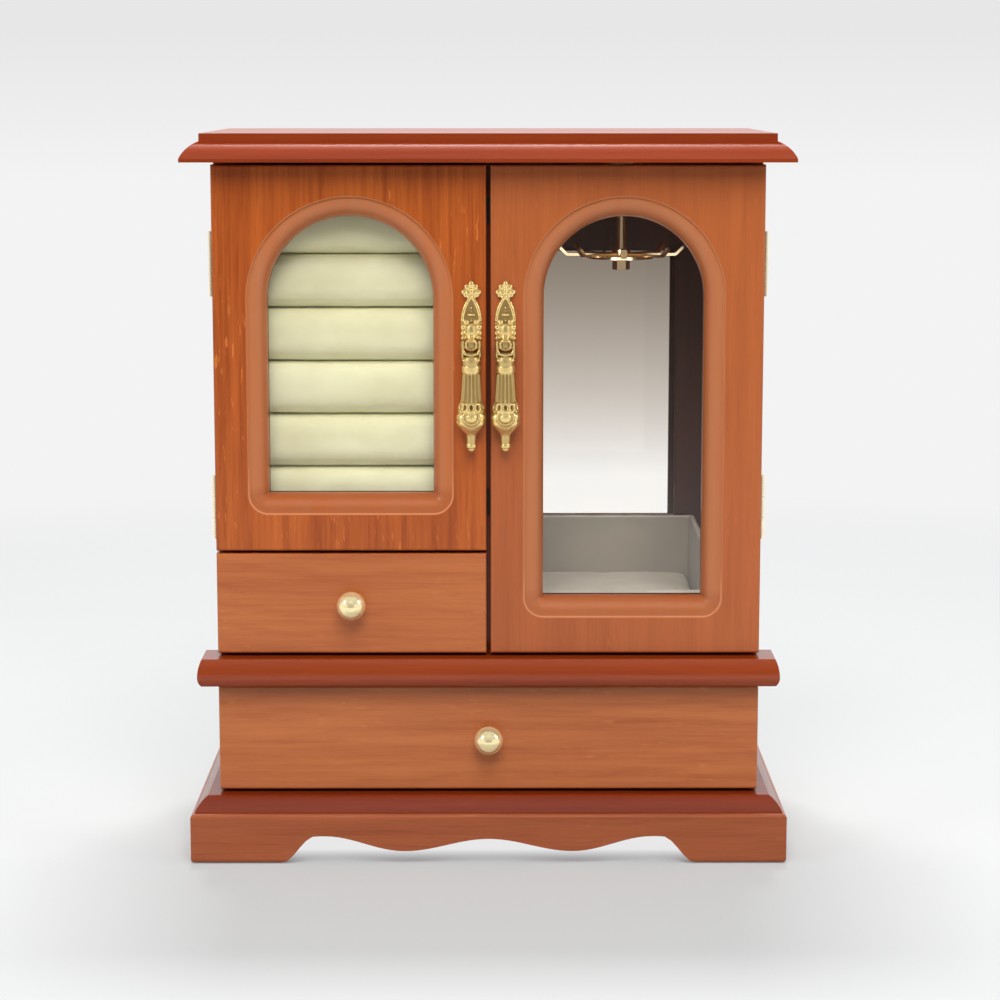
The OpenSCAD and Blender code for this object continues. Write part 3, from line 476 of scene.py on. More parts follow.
# %% The wood recipe
def lacquered_wood(name, grain, light, dark, seed, contrast=1.0, flecks=0.5, gloss=0.3,
                   figure=None, window=None, groove=None):
    """A stained board under a clear coat."""
    material, tree, output = new_material(name)
    colour, bands, fine, pores = board_colour(tree, grain, light, dark, seed, contrast, flecks,
                                              figure)
    if window:
        colour = routed_band(tree, colour, bands, light, dark, window)
    relief = calc(tree, "SUBTRACT", times(tree, fine, 0.3), pores)
    roughness = ramp(tree, fine, 0.2, 0.8, 0.3, 0.4)
    shader = surface(tree, output, colour, roughness, relief, 0.012, specular_ior_level=0.18,
                     coat_weight=gloss, coat_roughness=0.13, coat_ior=1.5)
    if groove:
        shade_and_dull_groove(tree, shader, *groove, gloss, dark)
    return material


print("wood recipe ready")

# %% [markdown]
# ## Which board gets which finish
# A cabinetmaker runs the grain along a board's length: upright on doors and sides, level on
# drawer fronts, mouldings and the plinth. One material for each direction keeps the noise
# simple. What shows least gets least work: the back and the beads are only stained dark, and
# the drawer boxes and glue blocks are left as pale board without a coat.

# %% Dress the boards
def dress(names, material):
    """Gives CAD nodes a material."""
    for name in names.split():
        nodes[name].data.materials.clear()
        nodes[name].data.materials.append(material)


def board(names, finish, grain, light, dark, seed, *rest, **figure_or_window):
    """Mixes one wood and gives it to the named nodes; tones are screen colours."""
    dress(names, lacquered_wood(finish, grain, rgb(*light), rgb(*dark), seed, *rest,
                                **figure_or_window))


board("left_door", "door_cherry_left", "Z", (182, 92, 34), (142, 62, 18), 1.3,
      window=(-59.4, 35.6, 245.1, 161.15))
board("right_door", "door_cherry_right", "Z", (174, 93, 48), (148, 74, 36), 4.1, 0.6, 0.15,
      window=(58.25, 34.45, 246.25, 115.8))
board("upper_drawer_front", "upper_drawer_cherry", "X", (184, 106, 56), (158, 82, 42), 12.2,
      0.7, 0.2, figure=(60, 170))
board("lower_drawer_front", "lower_drawer_cherry", "X", (184, 107, 58), (154, 80, 42), 2.2,
      0.7, 0.2, figure=(70, 20))
board("crown_board", "moulding_cherry", "X", (142, 54, 14), (116, 36, 6), 5.6, 0.6, 0.1, 0.32,
      groove=(311.0, 312.8))
board("waist_board", "waist_cherry", "X", (146, 58, 16), (120, 40, 8), 5.6, 0.6, 0.1, 0.6)
board("base_board", "base_cherry", "X", (126, 46, 15), (98, 30, 8), 3.6, 0.6, 0.1, 0.42)
board("front_apron back_apron", "plinth_cherry", "X", (164, 88, 52), (134, 66, 36), 6.4,
      0.8, 0.2)
board("left_apron right_apron", "plinth_end_cherry", "Y", (164, 88, 52), (134, 66, 36), 7.7,
      0.8, 0.2)
board("left_side right_side", "side_cherry", "Z", (178, 90, 36), (142, 64, 22), 8.8,
      flecks=0.3)
board("partition", "partition_cherry", "Z", (150, 62, 20), (118, 44, 12), 6.1, 0.6, 0.1)
board("shelf", "cupboard_cherry", "Z", (108, 54, 36), (78, 36, 24), 9.1, 0.6, 0.1)
board("back_panel left_bead right_bead", "dark_stained_panel", "Z", (98, 52, 36), (66, 33, 23),
      10.4, 0.5, 0.0)
BOX_PARTS = " ".join(f"{drawer}_{part}" for drawer in ("upper_drawer", "lower_drawer")
                     for part in ("left", "right", "back", "bottom"))
board("corner_blocks " + BOX_PARTS, "plain_drawer_board", "Y", (206, 170, 126),
      (184, 142, 98), 11.2, 0.6, 0.0, 0.0)
print("boards dressed")

# %% [markdown]
# ## Polished brass
# The knobs, hinges, pulls and the carousel are bright brass under a thin lacquer. A metal has
# no colour of its own: it tints what it reflects. So its graph needs little more than the tint,
# a low roughness and a faint unevenness that breaks up the reflections as handling does. The
# lacquer scatters some light itself, so Metallic may stay below 1: else a knob's rim would only
# repeat the wood beside it.

# %% Metals
def metal(name, tint, shade, smoothest, roughest, metallic=1.0):
    """Metal whose tint and gloss drift a little between the values given."""
    material, tree, output = new_material(name)
    wear_and_highlight = streaks(tree, (160, 160, 160), 2.0, 3)
    speckle = streaks(tree, (1400, 1400, 1400), 4.0, 2)
    colour = blend(tree, ramp(tree, wear_and_highlight, 0.35, 0.7), (*tint, 1), (*shade, 1))
    roughness = ramp(tree, wear_and_highlight, 0.3, 0.7, smoothest, roughest)
    surface(tree, output, colour, roughness, speckle, 0.004, metallic=metallic)
    return material


brass = metal("polished_brass", (0.98, 0.83, 0.46), (0.92, 0.74, 0.38), 0.12, 0.2, 0.82)
knob_brass = metal("knob_brass", (1.0, 0.86, 0.5), (0.95, 0.78, 0.42), 0.1, 0.18, 0.68)
hinge_brass = metal("hinge_brass", (0.95, 0.86, 0.66), (0.88, 0.78, 0.58), 0.2, 0.3)
carousel_brass = metal("carousel_brass", (1.0, 0.8, 0.52), (0.98, 0.72, 0.42), 0.16, 0.26, 0.85)
steel = metal("plated_steel", (0.72, 0.72, 0.74), (0.6, 0.6, 0.62), 0.25, 0.38)
CAROUSEL = "carousel_plate carousel_spindle carousel_disc carousel_hooks carousel_cap"
dress("left_hinge_frames right_hinge_frames left_hinge_leaves right_hinge_leaves", hinge_brass)
dress("upper_drawer_knob lower_drawer_knob", knob_brass)
dress(CAROUSEL, carousel_brass)
dress("left_strikes right_strikes", steel)
print("metals dressed")

# %% [markdown]
# ## Eased edges
# No real edge is perfectly sharp: a maker breaks each arris with sandpaper, and the narrow
# round catches a thin line of light. A Bevel modifier does this without touching the mesh, and
# its angle limit leaves the round forms alone.

# %% Ease the edges
def ease_edges(names, width_mm):
    """Breaks the sharp arrises of CAD nodes."""
    for name in names.split():
        eased = nodes[name].modifiers.new("eased_edges", "BEVEL")
        eased.width = width_mm * MM
        eased.segments = 2
        eased.limit_method = "ANGLE"
        eased.angle_limit = math.radians(40)


ease_edges(CAROUSEL, 0.35)
ease_edges("left_door right_door upper_drawer_front lower_drawer_front", 0.5)
print("edges eased")

# %% [markdown]
# ## Cast brass
# The pulls are cast, and polishing reaches their high spots only. The hollows keep a brown
# bloom. Ambient occlusion would find them, but an exporter can't read that. So each point of
# the mesh will store how deep it lies, and the material turns that into colour.

# %% Brass with dark hollows
def cast_brass():
    """The brass, a little yellower, darkened by the mesh's tarnish attribute."""
    material = brass.copy()
    material.name = "cast_brass"
    tree = material.node_tree
    shader = next(node for node in tree.nodes if node.type == "BSDF_PRINCIPLED")
    bright = shader.inputs["Base Color"].links[0].from_socket
    hollows = add(tree, "Attribute", attribute_name="tarnish").outputs["Fac"]
    yellow = blend(tree, 1.0, bright, (0.92, 0.83, 0.63, 1), "MULTIPLY")
    toned = blend(tree, times(tree, hollows, 0.8), yellow, (0.32, 0.2, 0.07, 1))
    tree.links.new(toned, shader.inputs["Base Color"])
    tree.links.new(ramp(tree, hollows, 0.0, 1.0, 0.22, 0.45), shader.inputs["Roughness"])
    return material


ornament_brass = cast_brass()
print("cast brass ready")

# %% [markdown]
# ## Magnets
# Two small magnets in the partition's edge hold the doors. They are ferrite, which is dark,
# dull and a little grainy, so to the shader it isn't a metal at all.

# %% Ferrite
def ferrite():
    """Two dark tones of one fine grain, rough all over."""
    material, tree, output = new_material("ferrite")
    grains = streaks(tree, (1800, 1800, 1800), 1.0, 3)
    colour = blend(tree, ramp(tree, grains, 0.3, 0.7), rgb(58, 48, 42), rgb(84, 74, 68))
    surface(tree, output, colour, ramp(tree, grains, 0.3, 0.7, 0.5, 0.7), grains, 0.03)
    return material


dress("door_magnets", ferrite())
print("magnets dressed")

# %% [markdown]
# ## Window glass and mirror
# A pane could be a refracting solid, but that stops every lamp's light, and the velvet behind
# turns grey and noisy. A thin pane mostly lets light straight through and mirrors a little more
# as the view gets flatter: a Transparent shader and a Glossy one. The share of gloss comes from
# Layer Weight's Facing, which treats both faces alike. A Fresnel node would take the second face
# for the inside of a solid. The mirror is plain bright metal with a very low roughness.

# %% Glass and mirror
def window_glass():
    """Clear with a share of gloss that grows as the view gets flatter."""
    material, tree, output = new_material("window_glass")
    dust = streaks(tree, (60, 60, 20), 3.0, 3)
    clear = add(tree, "BsdfTransparent", {"Color": (0.985, 0.98, 0.975, 1)})
    shine = add(tree, "BsdfGlossy", {"Color": (1, 1, 1, 1),
                                     "Roughness": ramp(tree, dust, 0.3, 0.7, 0.01, 0.04)})
    facing = add(tree, "LayerWeight", {"Blend": 0.5}).outputs["Facing"]
    share = ramp(tree, calc(tree, "POWER", facing, 5.0), 0.0, 1.0, 0.02, 1.0)
    tree.links.new(mix(tree, share, clear, shine).outputs[0], output.inputs[0])
    return material


def silvered_glass():
    """A mirror: bright metal with a breath of haze."""
    material, tree, output = new_material("silvered_glass")
    haze = streaks(tree, (25, 25, 25), 6.0, 3)
    colour = blend(tree, ramp(tree, haze, 0.3, 0.7), (0.93, 0.93, 0.925, 1),
                   (0.9, 0.91, 0.905, 1))
    surface(tree, output, colour, ramp(tree, haze, 0.3, 0.7, 0.0, 0.012), metallic=1.0)
    return material


dress("left_glass right_glass", window_glass())
dress("mirror", silvered_glass())
print("glass ready")

# %% [markdown]
# ## Helpers for new pieces
# The CAD gives flat, exact solids. Fabric and cast ornament need other forms, so the next cells
# build meshes that stand for CAD nodes. Each is told which body it rides on and which node it
# replaces.

# %% Piece helpers
def make_piece(name, points, faces, material):
    """A smooth-shaded mesh object from points in metres."""
    mesh = bpy.data.meshes.new(name)
    mesh.from_pydata(points, [], faces)
    mesh.materials.append(material)
    mesh.shade_smooth()
    piece = bpy.data.objects.new(name, mesh)
    scene.collection.objects.link(piece)
    return piece


def swept_faces(rows, around):
    """The skin over rows of points, each row a closed ring, with both ends capped."""
    faces = []
    for row in range(rows):
        for turn in range(around):
            a, b = row * around + turn, row * around + (turn + 1) % around
            faces.append((a, b, b + around, a + around))
    first, last = range(around), range(rows * around, (rows + 1) * around)
    return faces + [tuple(first)[::-1], tuple(last)]


def bake(piece):
    """Turns the piece's modifiers into plain mesh."""
    seen = piece.evaluated_get(bpy.context.evaluated_depsgraph_get())
    mesh = bpy.data.meshes.new_from_object(seen)
    piece.modifiers.clear()
    piece.data = mesh
    mesh.shade_smooth()


def remesh(piece, voxel_mm, smooth_steps=0):
    """Rebuilds the skin from small cubes, which fuses what overlaps, and softens it."""
    skin = piece.modifiers.new("skin", "REMESH")
    skin.mode = "VOXEL"
    skin.voxel_size = voxel_mm * MM
    if smooth_steps:
        soften = piece.modifiers.new("soften", "SMOOTH")
        soften.factor, soften.iterations = 0.5, smooth_steps
    bake(piece)


def stands_for(piece, node):
    """The piece takes over a CAD node: it rides on the same body, and the node is hidden."""
    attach(piece, nodes[node].parent.name.removeprefix("body:"))
    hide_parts(node)


print("piece helpers ready")

# %% [markdown]
# ## Velvet
# The ring rolls are wrapped in cream velvet and the pouch in a grey-beige one. Velvet is dull
# face-on and glows softly at its edges, because its pile stands up: that is the sheen. Finger
# marks leave broad lighter and darker patches, and the pile is a very fine grain.

# %% Velvet finishes
def velvet(name, light, dark, seed, upright_shade=0.0):
    """Pile over a brushed ground, with painted shade of the given share on upright faces."""
    material, tree, output = new_material(name)
    brushed = streaks(tree, (46, 46, 70), seed, 3)
    pile = streaks(tree, (2600, 2600, 2600), seed + 2, 2)
    colour = blend(tree, ramp(tree, brushed, 0.35, 0.68), light, dark)
    colour = blend(tree, ramp(tree, pile, 0.35, 0.7, 0.0, 0.22), colour, dark)
    # Painted shade: faces that stand upright are darkened towards a deeper tone.
    if upright_shade:
        upward = add(tree, "SeparateXYZ", {0: add(tree, "TexCoord").outputs["Normal"]}).outputs[2]
        shaded_pile = tuple(tone * 0.4 for tone in dark[:3]) + (1,)
        colour = blend(tree, ramp(tree, upward, 0.75, 0.35, 0.0, upright_shade), colour, shaded_pile)
    relief = calc(tree, "ADD", pile, times(tree, brushed, 2.0))
    surface(tree, output, colour, ramp(tree, pile, 0.3, 0.7, 0.85, 1.0), relief, 0.06,
            sheen_weight=0.18, sheen_roughness=0.45, specular_ior_level=0.2)
    return material


cream_velvet = velvet("cream_velvet", rgb(231, 229, 193), rgb(219, 216, 177), 1.7)
# The pouch's upright faces get painted shade.
grey_velvet = velvet("grey_velvet", rgb(240, 232, 216), rgb(226, 217, 200), 4.9, upright_shade=0.66)
cushion_velvet = velvet("cushion_velvet", rgb(232, 224, 207), rgb(218, 209, 192), 7.2)
print("velvets ready")

# %% [markdown]
# ## Velvet boards
# The tray that holds the rolls and the shell of the pouch are card wrapped in velvet, and the
# cloth rounds every edge by a millimetre. A voxel remesh of a copy of the CAD form and a few
# smoothing steps give that, and a gentle noise keeps it from looking machined. A bevel would
# round the edges too, but it trips over the thin walls.

# %% Wrap the tray and the pouch
def ruffle(piece, reach_mm, cells_per_metre, seed):
    """Moves each point inwards along its normal by up to reach_mm of smooth noise."""
    shift = Vector((seed, seed, seed))
    inwards = [point.normal.copy() for point in piece.data.vertices]
    for point, normal in zip(piece.data.vertices, inwards):
        wave = noise.noise(point.co * cells_per_metre + shift) * 0.5 + 0.5
        point.co -= normal * wave * reach_mm * MM


def wrapped_board(node, voxel_mm, material, seed):
    """A velvet-covered copy of a CAD node."""
    piece = make_piece(f"velvet_{node}", [], [], material)
    piece.data = nodes[node].data.copy()
    piece.data.materials.clear()
    piece.data.materials.append(material)
    remesh(piece, voxel_mm, 3)
    ruffle(piece, 0.35, 90, seed)
    stands_for(piece, node)
    print(piece.name, len(piece.data.vertices), "points")


wrapped_board("ring_tray", 1.3, cream_velvet, 3.0)
wrapped_board("pouch_shell", 1.3, grey_velvet, 8.0)

# %% [markdown]
# ## Stuffed rolls
# Each ring roll is a strip of foam rolled into velvet, and rings are pushed between two rolls.
# Modelled by hand, it looks stiff. A cloth simulation with inner pressure does what the foam
# does: it fills the cover until the cloth is tight and lets it pucker where it is short. The
# start shape is a little too small, and a cap on each point's travel keeps the swollen roll
# clear of its neighbours.

# %% The stuffing simulation
STUFFING_FRAMES = 20


def inflate(piece, voxel_mm, cap_mm, pressure=4.0):
    """Fills the piece like foam in a cover; no point travels further than cap_mm."""
    remesh(piece, voxel_mm)
    start = [point.co.copy() for point in piece.data.vertices]
    cloth = piece.modifiers.new("cover", "CLOTH")
    cloth.settings.quality = 6
    cloth.settings.mass = 0.2
    cloth.settings.use_pressure = True
    cloth.settings.uniform_pressure_force = pressure
    cloth.settings.effector_weights.gravity = 0
    for step in range(1, STUFFING_FRAMES + 1):
        scene.frame_set(step)
    bake(piece)
    for point, origin in zip(piece.data.vertices, start):
        move = point.co - origin
        if move.length > cap_mm * MM:
            point.co = origin + move.normalized() * cap_mm * MM
    scene.frame_set(1)
    rounder = piece.modifiers.new("rounder", "SUBSURF")
    rounder.levels = rounder.render_levels = 1
    bake(piece)


print("stuffing ready")

# %% [markdown]
# ## Six ring rolls
# A roll is a circle swept along its length, with rounded ends and a little lumpiness from
# noise. Its front half is a superellipse instead, because the foam bulges between its
# neighbours until it is almost flat. Then the simulation tightens the cover.

# %% Roll the ring rolls
ROLL_CAP = 0.2
PRESSED_IN = 0.2
PRESSED = 3.5
END_ROUND = 2.6
LUMP = 0.25


def pressed(angle):
    """What a circle's radius is divided by to press it towards a square."""
    return (abs(math.cos(angle)) ** PRESSED + abs(math.sin(angle)) ** PRESSED) ** (1 / PRESSED)


def ring_roll(number):
    """A velvet roll in the place of one CAD roll."""
    low, high = [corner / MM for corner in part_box(f"ring_roll_{number}")]
    middle, radius = (low + high) / 2, (high.z - low.z) / 2 + PRESSED_IN - ROLL_CAP
    rows, around = 60, 36
    points = []
    for row in range(rows + 1):
        along_x = low.x + 0.5 + (high.x - low.x - 1.0) * row / rows
        from_end = min(along_x - low.x, high.x - along_x) - 0.5
        shoulder = math.sqrt(max(0.0, 1 - max(0.0, 1 - from_end / 3.0) ** 2))
        for turn in range(around):
            angle = 2 * math.pi * turn / around
            lump = noise.noise((along_x * 0.06, number * 7.0, angle * 0.9)) * LUMP
            reach = (radius - END_ROUND + END_ROUND * shoulder) + min(0.0, lump)
            if math.cos(angle) < 0:
                reach /= pressed(angle)
            points.append((along_x * MM, (middle.y + reach * math.cos(angle)) * MM,
                           (middle.z + reach * math.sin(angle)) * MM))
    faces = swept_faces(rows, around)
    piece = make_piece(f"velvet_roll_{number}", points, faces, cream_velvet)
    inflate(piece, 2.2, ROLL_CAP)
    stands_for(piece, f"ring_roll_{number}")
    return piece


rolls = [ring_roll(number) for number in range(1, 7)]
print("six rolls,", sum(len(roll.data.vertices) for roll in rolls), "points")

# %% [markdown]
# ## Cushion and linings
# The cushion on the floor of the pouch is thicker and slacker, flat below and crowned above. The
# drawer linings are velvet over thin foam. Both start as a block with rounded edges on a grid of
# even cells, which a cloth simulation needs; a bevelled cube has long thin ones.

# %% Rounded blocks
def rounded_form(name, low, high, radius, cell, material, crown=0.0):
    """A closed block with rounded edges; crown lowers the top towards its rim. Millimetres."""
    low, high = Vector(low), Vector(high)
    middle, half = (low + high) / 2, (high - low) / 2
    counts = [max(2, round(2 * h / cell)) for h in half]
    places, faces = {}, []

    def corner(grid):
        unit = Vector([2 * g / n - 1 for g, n in zip(grid, counts)])
        flat = Vector([u * h for u, h in zip(unit, half)])
        core = Vector([max(radius - h, min(h - radius, f)) for f, h in zip(flat, half)])
        away = flat - core
        point = core + away.normalized() * radius if away.length > 0 else flat
        if point.z > 0:
            point.z -= crown * (1 - (1 - unit.x ** 4) * (1 - unit.y ** 4))
        return (middle + point) * MM

    for axis in range(3):
        one, two = (axis + 1) % 3, (axis + 2) % 3
        for end in (0, counts[axis]):
            for i in range(counts[one]):
                for j in range(counts[two]):
                    ring = []
                    for di, dj in ((0, 0), (1, 0), (1, 1), (0, 1)):
                        grid = [0, 0, 0]
                        grid[axis], grid[one], grid[two] = end, i + di, j + dj
                        ring.append(places.setdefault(tuple(grid), len(places)))
                    faces.append(ring if end else ring[::-1])
    return make_piece(name, [corner(grid) for grid in places], faces, material)


print("rounded blocks ready")

# %% [markdown]
# The cushion starts a little smaller than its place in the pouch, and the simulation swells it.
# The linings are thin, so noise alone gives their top the soft uneven look of laid velvet.

# %% Cushion and linings
low, high = [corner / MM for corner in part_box("pouch_pad")]
inset = Vector((0.9, 0.9, 0.0))
cushion = rounded_form("velvet_pouch_cushion", low + inset, high - inset - Vector((0, 0, 0.6)),
                       2.6, 2.6, cushion_velvet, crown=0.8)
inflate(cushion, 2.4, 0.7, pressure=3.0)
stands_for(cushion, "pouch_pad")

for drawer in ("upper_drawer", "lower_drawer"):
    low, high = [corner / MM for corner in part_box(f"{drawer}_lining")]
    lining = rounded_form(f"velvet_{drawer}_lining", low, high, 0.7, 2.4, cream_velvet, crown=0.5)
    ruffle(lining, 0.3, 60, 2.0)
    stands_for(lining, f"{drawer}_lining")
print("cushion and linings done")

# %% [markdown]
# ## Cast pulls: the plate
# The pulls are die-cast in the manner of old furniture mounts: a leaf finial, a sunk triangle
# with a small flower, a shield between scrolls, and an eye for the drop to hang from. A caster
# builds the pattern from small lumps of wax. The same works here: overlapping stretched balls, a
# fine voxel remesh that fuses them, and a light smoothing like the fettling of a raw casting.
# All sizes are in millimetres from the pivot of the drop.

# %% Lumps that fuse into a casting
def lumps(name, balls, voxel_mm, smooth_steps, outline=None, thickness=0.0):
    """One fused casting from (x, out, up, radius x, radius out, radius up, lean) balls and,
    if given, a slab of that outline on the door."""
    shape = bmesh.new()
    if outline:
        rim = outline + [(-x, up) for x, up in reversed(outline) if x > 0.01]
        front = [shape.verts.new((x, -thickness, up)) for x, up in rim]
        back = [shape.verts.new((x, 0.3, up)) for x, up in rim]
        shape.faces.new(front[::-1])
        shape.faces.new(back)
        for i in range(len(rim)):
            j = (i + 1) % len(rim)
            shape.faces.new((front[i], front[j], back[j], back[i]))
        bmesh.ops.recalc_face_normals(shape, faces=shape.faces)
    for x, out, up, wide, deep, tall, lean in balls:
        place = (Matrix.Translation((x, -out, up)) @ Matrix.Rotation(math.radians(lean), 4, "Y")
                 @ Matrix.Diagonal((wide, deep, tall, 1)))
        bmesh.ops.create_icosphere(shape, subdivisions=3, radius=1, matrix=place)
    bmesh.ops.scale(shape, verts=shape.verts, vec=(MM, MM, MM))
    piece = make_piece(name, [], [], ornament_brass)
    shape.to_mesh(piece.data)
    shape.free()
    remesh(piece, voxel_mm, smooth_steps)
    return piece


def both_sides(balls):
    """The balls and their mirror images."""
    return balls + [(-x, out, up, wide, deep, tall, -lean)
                    for x, out, up, wide, deep, tall, lean in balls if x > 0.01]


def bead_line(size, start, *legs):
    """Equal balls, close enough to fuse into a bar, from start through the ends of the legs.
    A leg is its end, its number of balls and, where it changes, their size."""
    beads = []
    for finish, count, *new_size in legs:
        size = new_size[0] if new_size else size
        for i in range(count):
            place = [a + (b - a) * (i / (count - 1)) for a, b in zip(start, finish)]
            beads.append((*place, size, size, size, 0))
        start = finish
    return beads


print("casting helpers ready")

# %% [markdown]
# The plate's lumps follow, from the leaf finial at the top to the eye at the pivot. Only the
# right half is listed, because both sides are alike. Each point of the finished plate then
# stores how deep it lies, for the dark bloom in the hollows.

# %% Cast the plate
finial = [(0, 0.9, 25.4, 1.2, 1.25, 1.8, 0), (1.75, 0.8, 24.2, 1.2, 1.05, 1.5, 35),
          (3.0, 0.8, 22.1, 1.35, 1.1, 1.4, 75), (2.3, 0.8, 20.8, 1.2, 1.0, 1.0, 40),
          (0, 1.3, 22.3, 0.95, 1.3, 2.0, 0), (1.35, 1.2, 21.6, 0.9, 1.1, 1.5, 25),
          (0.9, 1.0, 19.9, 1.1, 1.1, 0.9, 0)]
side_bands = bead_line(0.72, (0.45, 1.0, 19.5), ((1.8, 1.05, 17.6), 7),
                       ((2.85, 1.05, 15.2), 8, 0.82), ((3.5, 1.05, 12.8), 8, 0.84),
                       ((3.85, 1.1, 10.2), 8, 0.76))
flower = [(0, 0.9, 15.4, 0.5, 0.75, 0.6, 0), (0, 0.9, 14.0, 0.4, 0.6, 0.4, 0),
          (0, 0.9, 12.4, 0.75, 0.85, 0.75, 0), (1.1, 0.9, 12.4, 0.65, 0.75, 0.65, 20)]
pads = [(2.1, 1.2, 9.2, 1.25, 1.05, 1.3, 0), (0, 1.0, 9.9, 0.5, 0.8, 0.6, 0)]
scrolls = [(3.45, 1.15, 6.9, 1.15, 1.0, 1.4, 12), (3.6, 1.1, 4.5, 1.05, 1.0, 1.15, -10),
           (3.4, 1.05, 2.4, 1.15, 0.95, 0.85, 0), (2.4, 0.6, 5.0, 1.6, 0.75, 3.8, 0)]
shield = [(0, 0.9, 5.2, 1.95, 1.05, 3.7, 0), (0, 1.1, 2.6, 1.8, 1.1, 1.5, 0)]
SLAB = [(0, 25.5), (1.9, 25.0), (3.2, 23.4), (3.6, 21.6), (2.9, 20.2), (1.9, 19.4), (2.7, 17.6),
        (3.75, 15.2), (4.3, 12.8), (4.5, 10.2), (4.4, 4.0), (4.1, 1.7), (2.8, -2.4), (0, -2.6)]


def eye():
    """The barrel that the pin runs through, with a horseshoe rim on its front."""
    barrel = [(0, 2.6, 0, 2.55, 2.9, 2.5, 0), (0, 4.7, 0, 2.5, 2.4, 2.5, 0)]
    rim = []
    for step in range(33):
        turn = math.radians(-225 + 270 * step / 32)
        tilt = 1.15 * math.sin(turn)
        rim.append((2.2 * math.cos(turn), 4.8 + 2.45 * math.cos(tilt), 2.6 * math.sin(tilt),
                    0.5, 0.44, 0.45, 0))
    return barrel + rim


def tarnish(piece, darkness):
    """Stores how dark each point is, for the brass shader to read."""
    layer = piece.data.attributes.new("tarnish", "FLOAT", "POINT")
    for point, value in zip(piece.data.vertices, layer.data):
        value.value = min(1.0, max(0.0, darkness(point.co / MM)))


def plate_tarnish(at):
    """Dark in the sunk triangle, less so in the scrollwork, shaded inside the eye."""
    if at.z > 9.5:
        return (at.y + 1.15) / 0.4 if at.z < 19.5 else (at.y + 0.95) / 0.5
    if at.z > 1.2:
        return min(0.6, (at.y + 1.3) / 0.7) + (0.45 if abs(at.x) < 1.6 else 0.0)
    return 0.85 if abs(at.x) < 1.6 and at.y < -5 else 0.25


plate_balls = both_sides(finial + side_bands + flower + pads + scrolls + shield)
plate = lumps("cast_right_pull_plate", plate_balls + eye(), 0.2, 2, outline=SLAB, thickness=0.55)
for point in plate.data.vertices:
    point.co.y = min(point.co.y, 0)
tarnish(plate, plate_tarnish)
print("plate:", len(plate.data.vertices), "points")

# %% [markdown]
# ## Cast pulls: the drop
# The drop is turned rather than heaped up. Its radius changes with the height and, for the
# ornament, with the angle: flutes round the column, a ring of small pits, a swelling with
# scrolls at its sides and a scallop in front. A formula for the radius keeps every groove
# crisp, which voxels of the same count wouldn't.

# %% Profile and carving of the drop
TURNING = [(-4.7, 0.2), (-4.8, 2.4), (-5.2, 3.2), (-6.4, 3.7), (-7.8, 3.75), (-8.7, 3.55),
           (-9.0, 3.95), (-9.4, 4.1), (-11.6, 4.05), (-12.1, 3.8), (-12.6, 3.8), (-13.0, 3.85),
           (-18.0, 4.15), (-24.0, 4.6), (-24.6, 4.9), (-25.2, 5.4), (-28.0, 5.7), (-28.9, 5.55),
           (-29.8, 5.95), (-31.2, 6.2), (-32.6, 6.2), (-33.8, 5.95), (-34.9, 5.45),
           (-36.0, 4.7), (-37.2, 3.6), (-38.2, 2.7), (-38.9, 2.2), (-42.6, 1.9), (-43.1, 2.2),
           (-44.1, 2.2), (-44.5, 1.65), (-45.2, 1.5), (-45.9, 0.95), (-46.3, 0.1)]
VOLUTES = ((5.5, -30.8, 1.9, 0.55), (5.2, -33.8, 1.6, 0.5),
           (8.8, -30.8, 1.8, 0.35), (8.6, -33.7, 1.7, 0.4))
FLUTED, PITTED, SWOLLEN = (-24.6, -12.2), (-29.0, -24.7), (-36.5, -29.0)
PITS, RIBS, GIRTH = 11, 7, 5.6


def turned_radius(up):
    """The plain profile: straight lines between the listed sizes."""
    for (top, first), (bottom, last) in zip(TURNING, TURNING[1:]):
        if bottom <= up <= top:
            share = (top - up) / (top - bottom)
            return first + (last - first) * share
    return TURNING[-1][1]


def hump(distance, width):
    """A smooth bump: 1 at no distance, 0 from width on."""
    reach = min(1.0, abs(distance) / width)
    return (1 - reach * reach) ** 2


def carved(up, angle):
    """The ornament: what is added to the plain radius; angle 0 faces forwards."""
    cut = 0.0
    if FLUTED[0] < up < FLUTED[1]:
        fade = min(1.0, (up - FLUTED[0]) / 0.7, (FLUTED[1] - up) / 0.7)
        cut -= 0.75 * fade * (1 - abs(math.cos(7 * angle + 0.3)) ** 3)
    if PITTED[0] < up < PITTED[1]:
        cell = (angle * PITS / (2 * math.pi) + 0.5) % 1 - 0.5
        cut -= 1.9 * hump(math.hypot(cell / 0.33, (up + 26.6) / 1.55), 1.0)
        cut += 0.35 * abs(math.cos(math.pi * cell)) * hump(up + 28.3, 0.9)
    if SWOLLEN[0] < up < SWOLLEN[1]:
        sideways = GIRTH * angle
        for centre, height, size, rise in VOLUTES:
            gap = math.hypot(abs(sideways) - centre, up - height)
            cut += rise * (hump(gap, size) - 0.45 * hump(gap, 0.6))
        fan = math.hypot(sideways, up + 30.6)
        if abs(sideways) < 3.4:
            ribs = 0.5 + 0.5 * math.cos(RIBS * math.atan2(sideways, -(up + 29.2)))
            cut += (0.5 * hump(fan - 3.3, 0.75) + 0.55 * hump(fan, 2.4) * (0.6 + 0.4 * ribs)
                    - 0.5 * hump(fan - 2.6, 0.5))
    return cut


print("profile of", len(TURNING), "sizes")

# %% [markdown]
# The skin is laid in rows of points like a lathe's passes, and the carving moves each point out
# or in. The door's side is cut flat, so that the drop hangs close to the wood.

# %% Turn the drop
DOOR_SIDE = 4.15
ROWS, AROUND = 210, 96


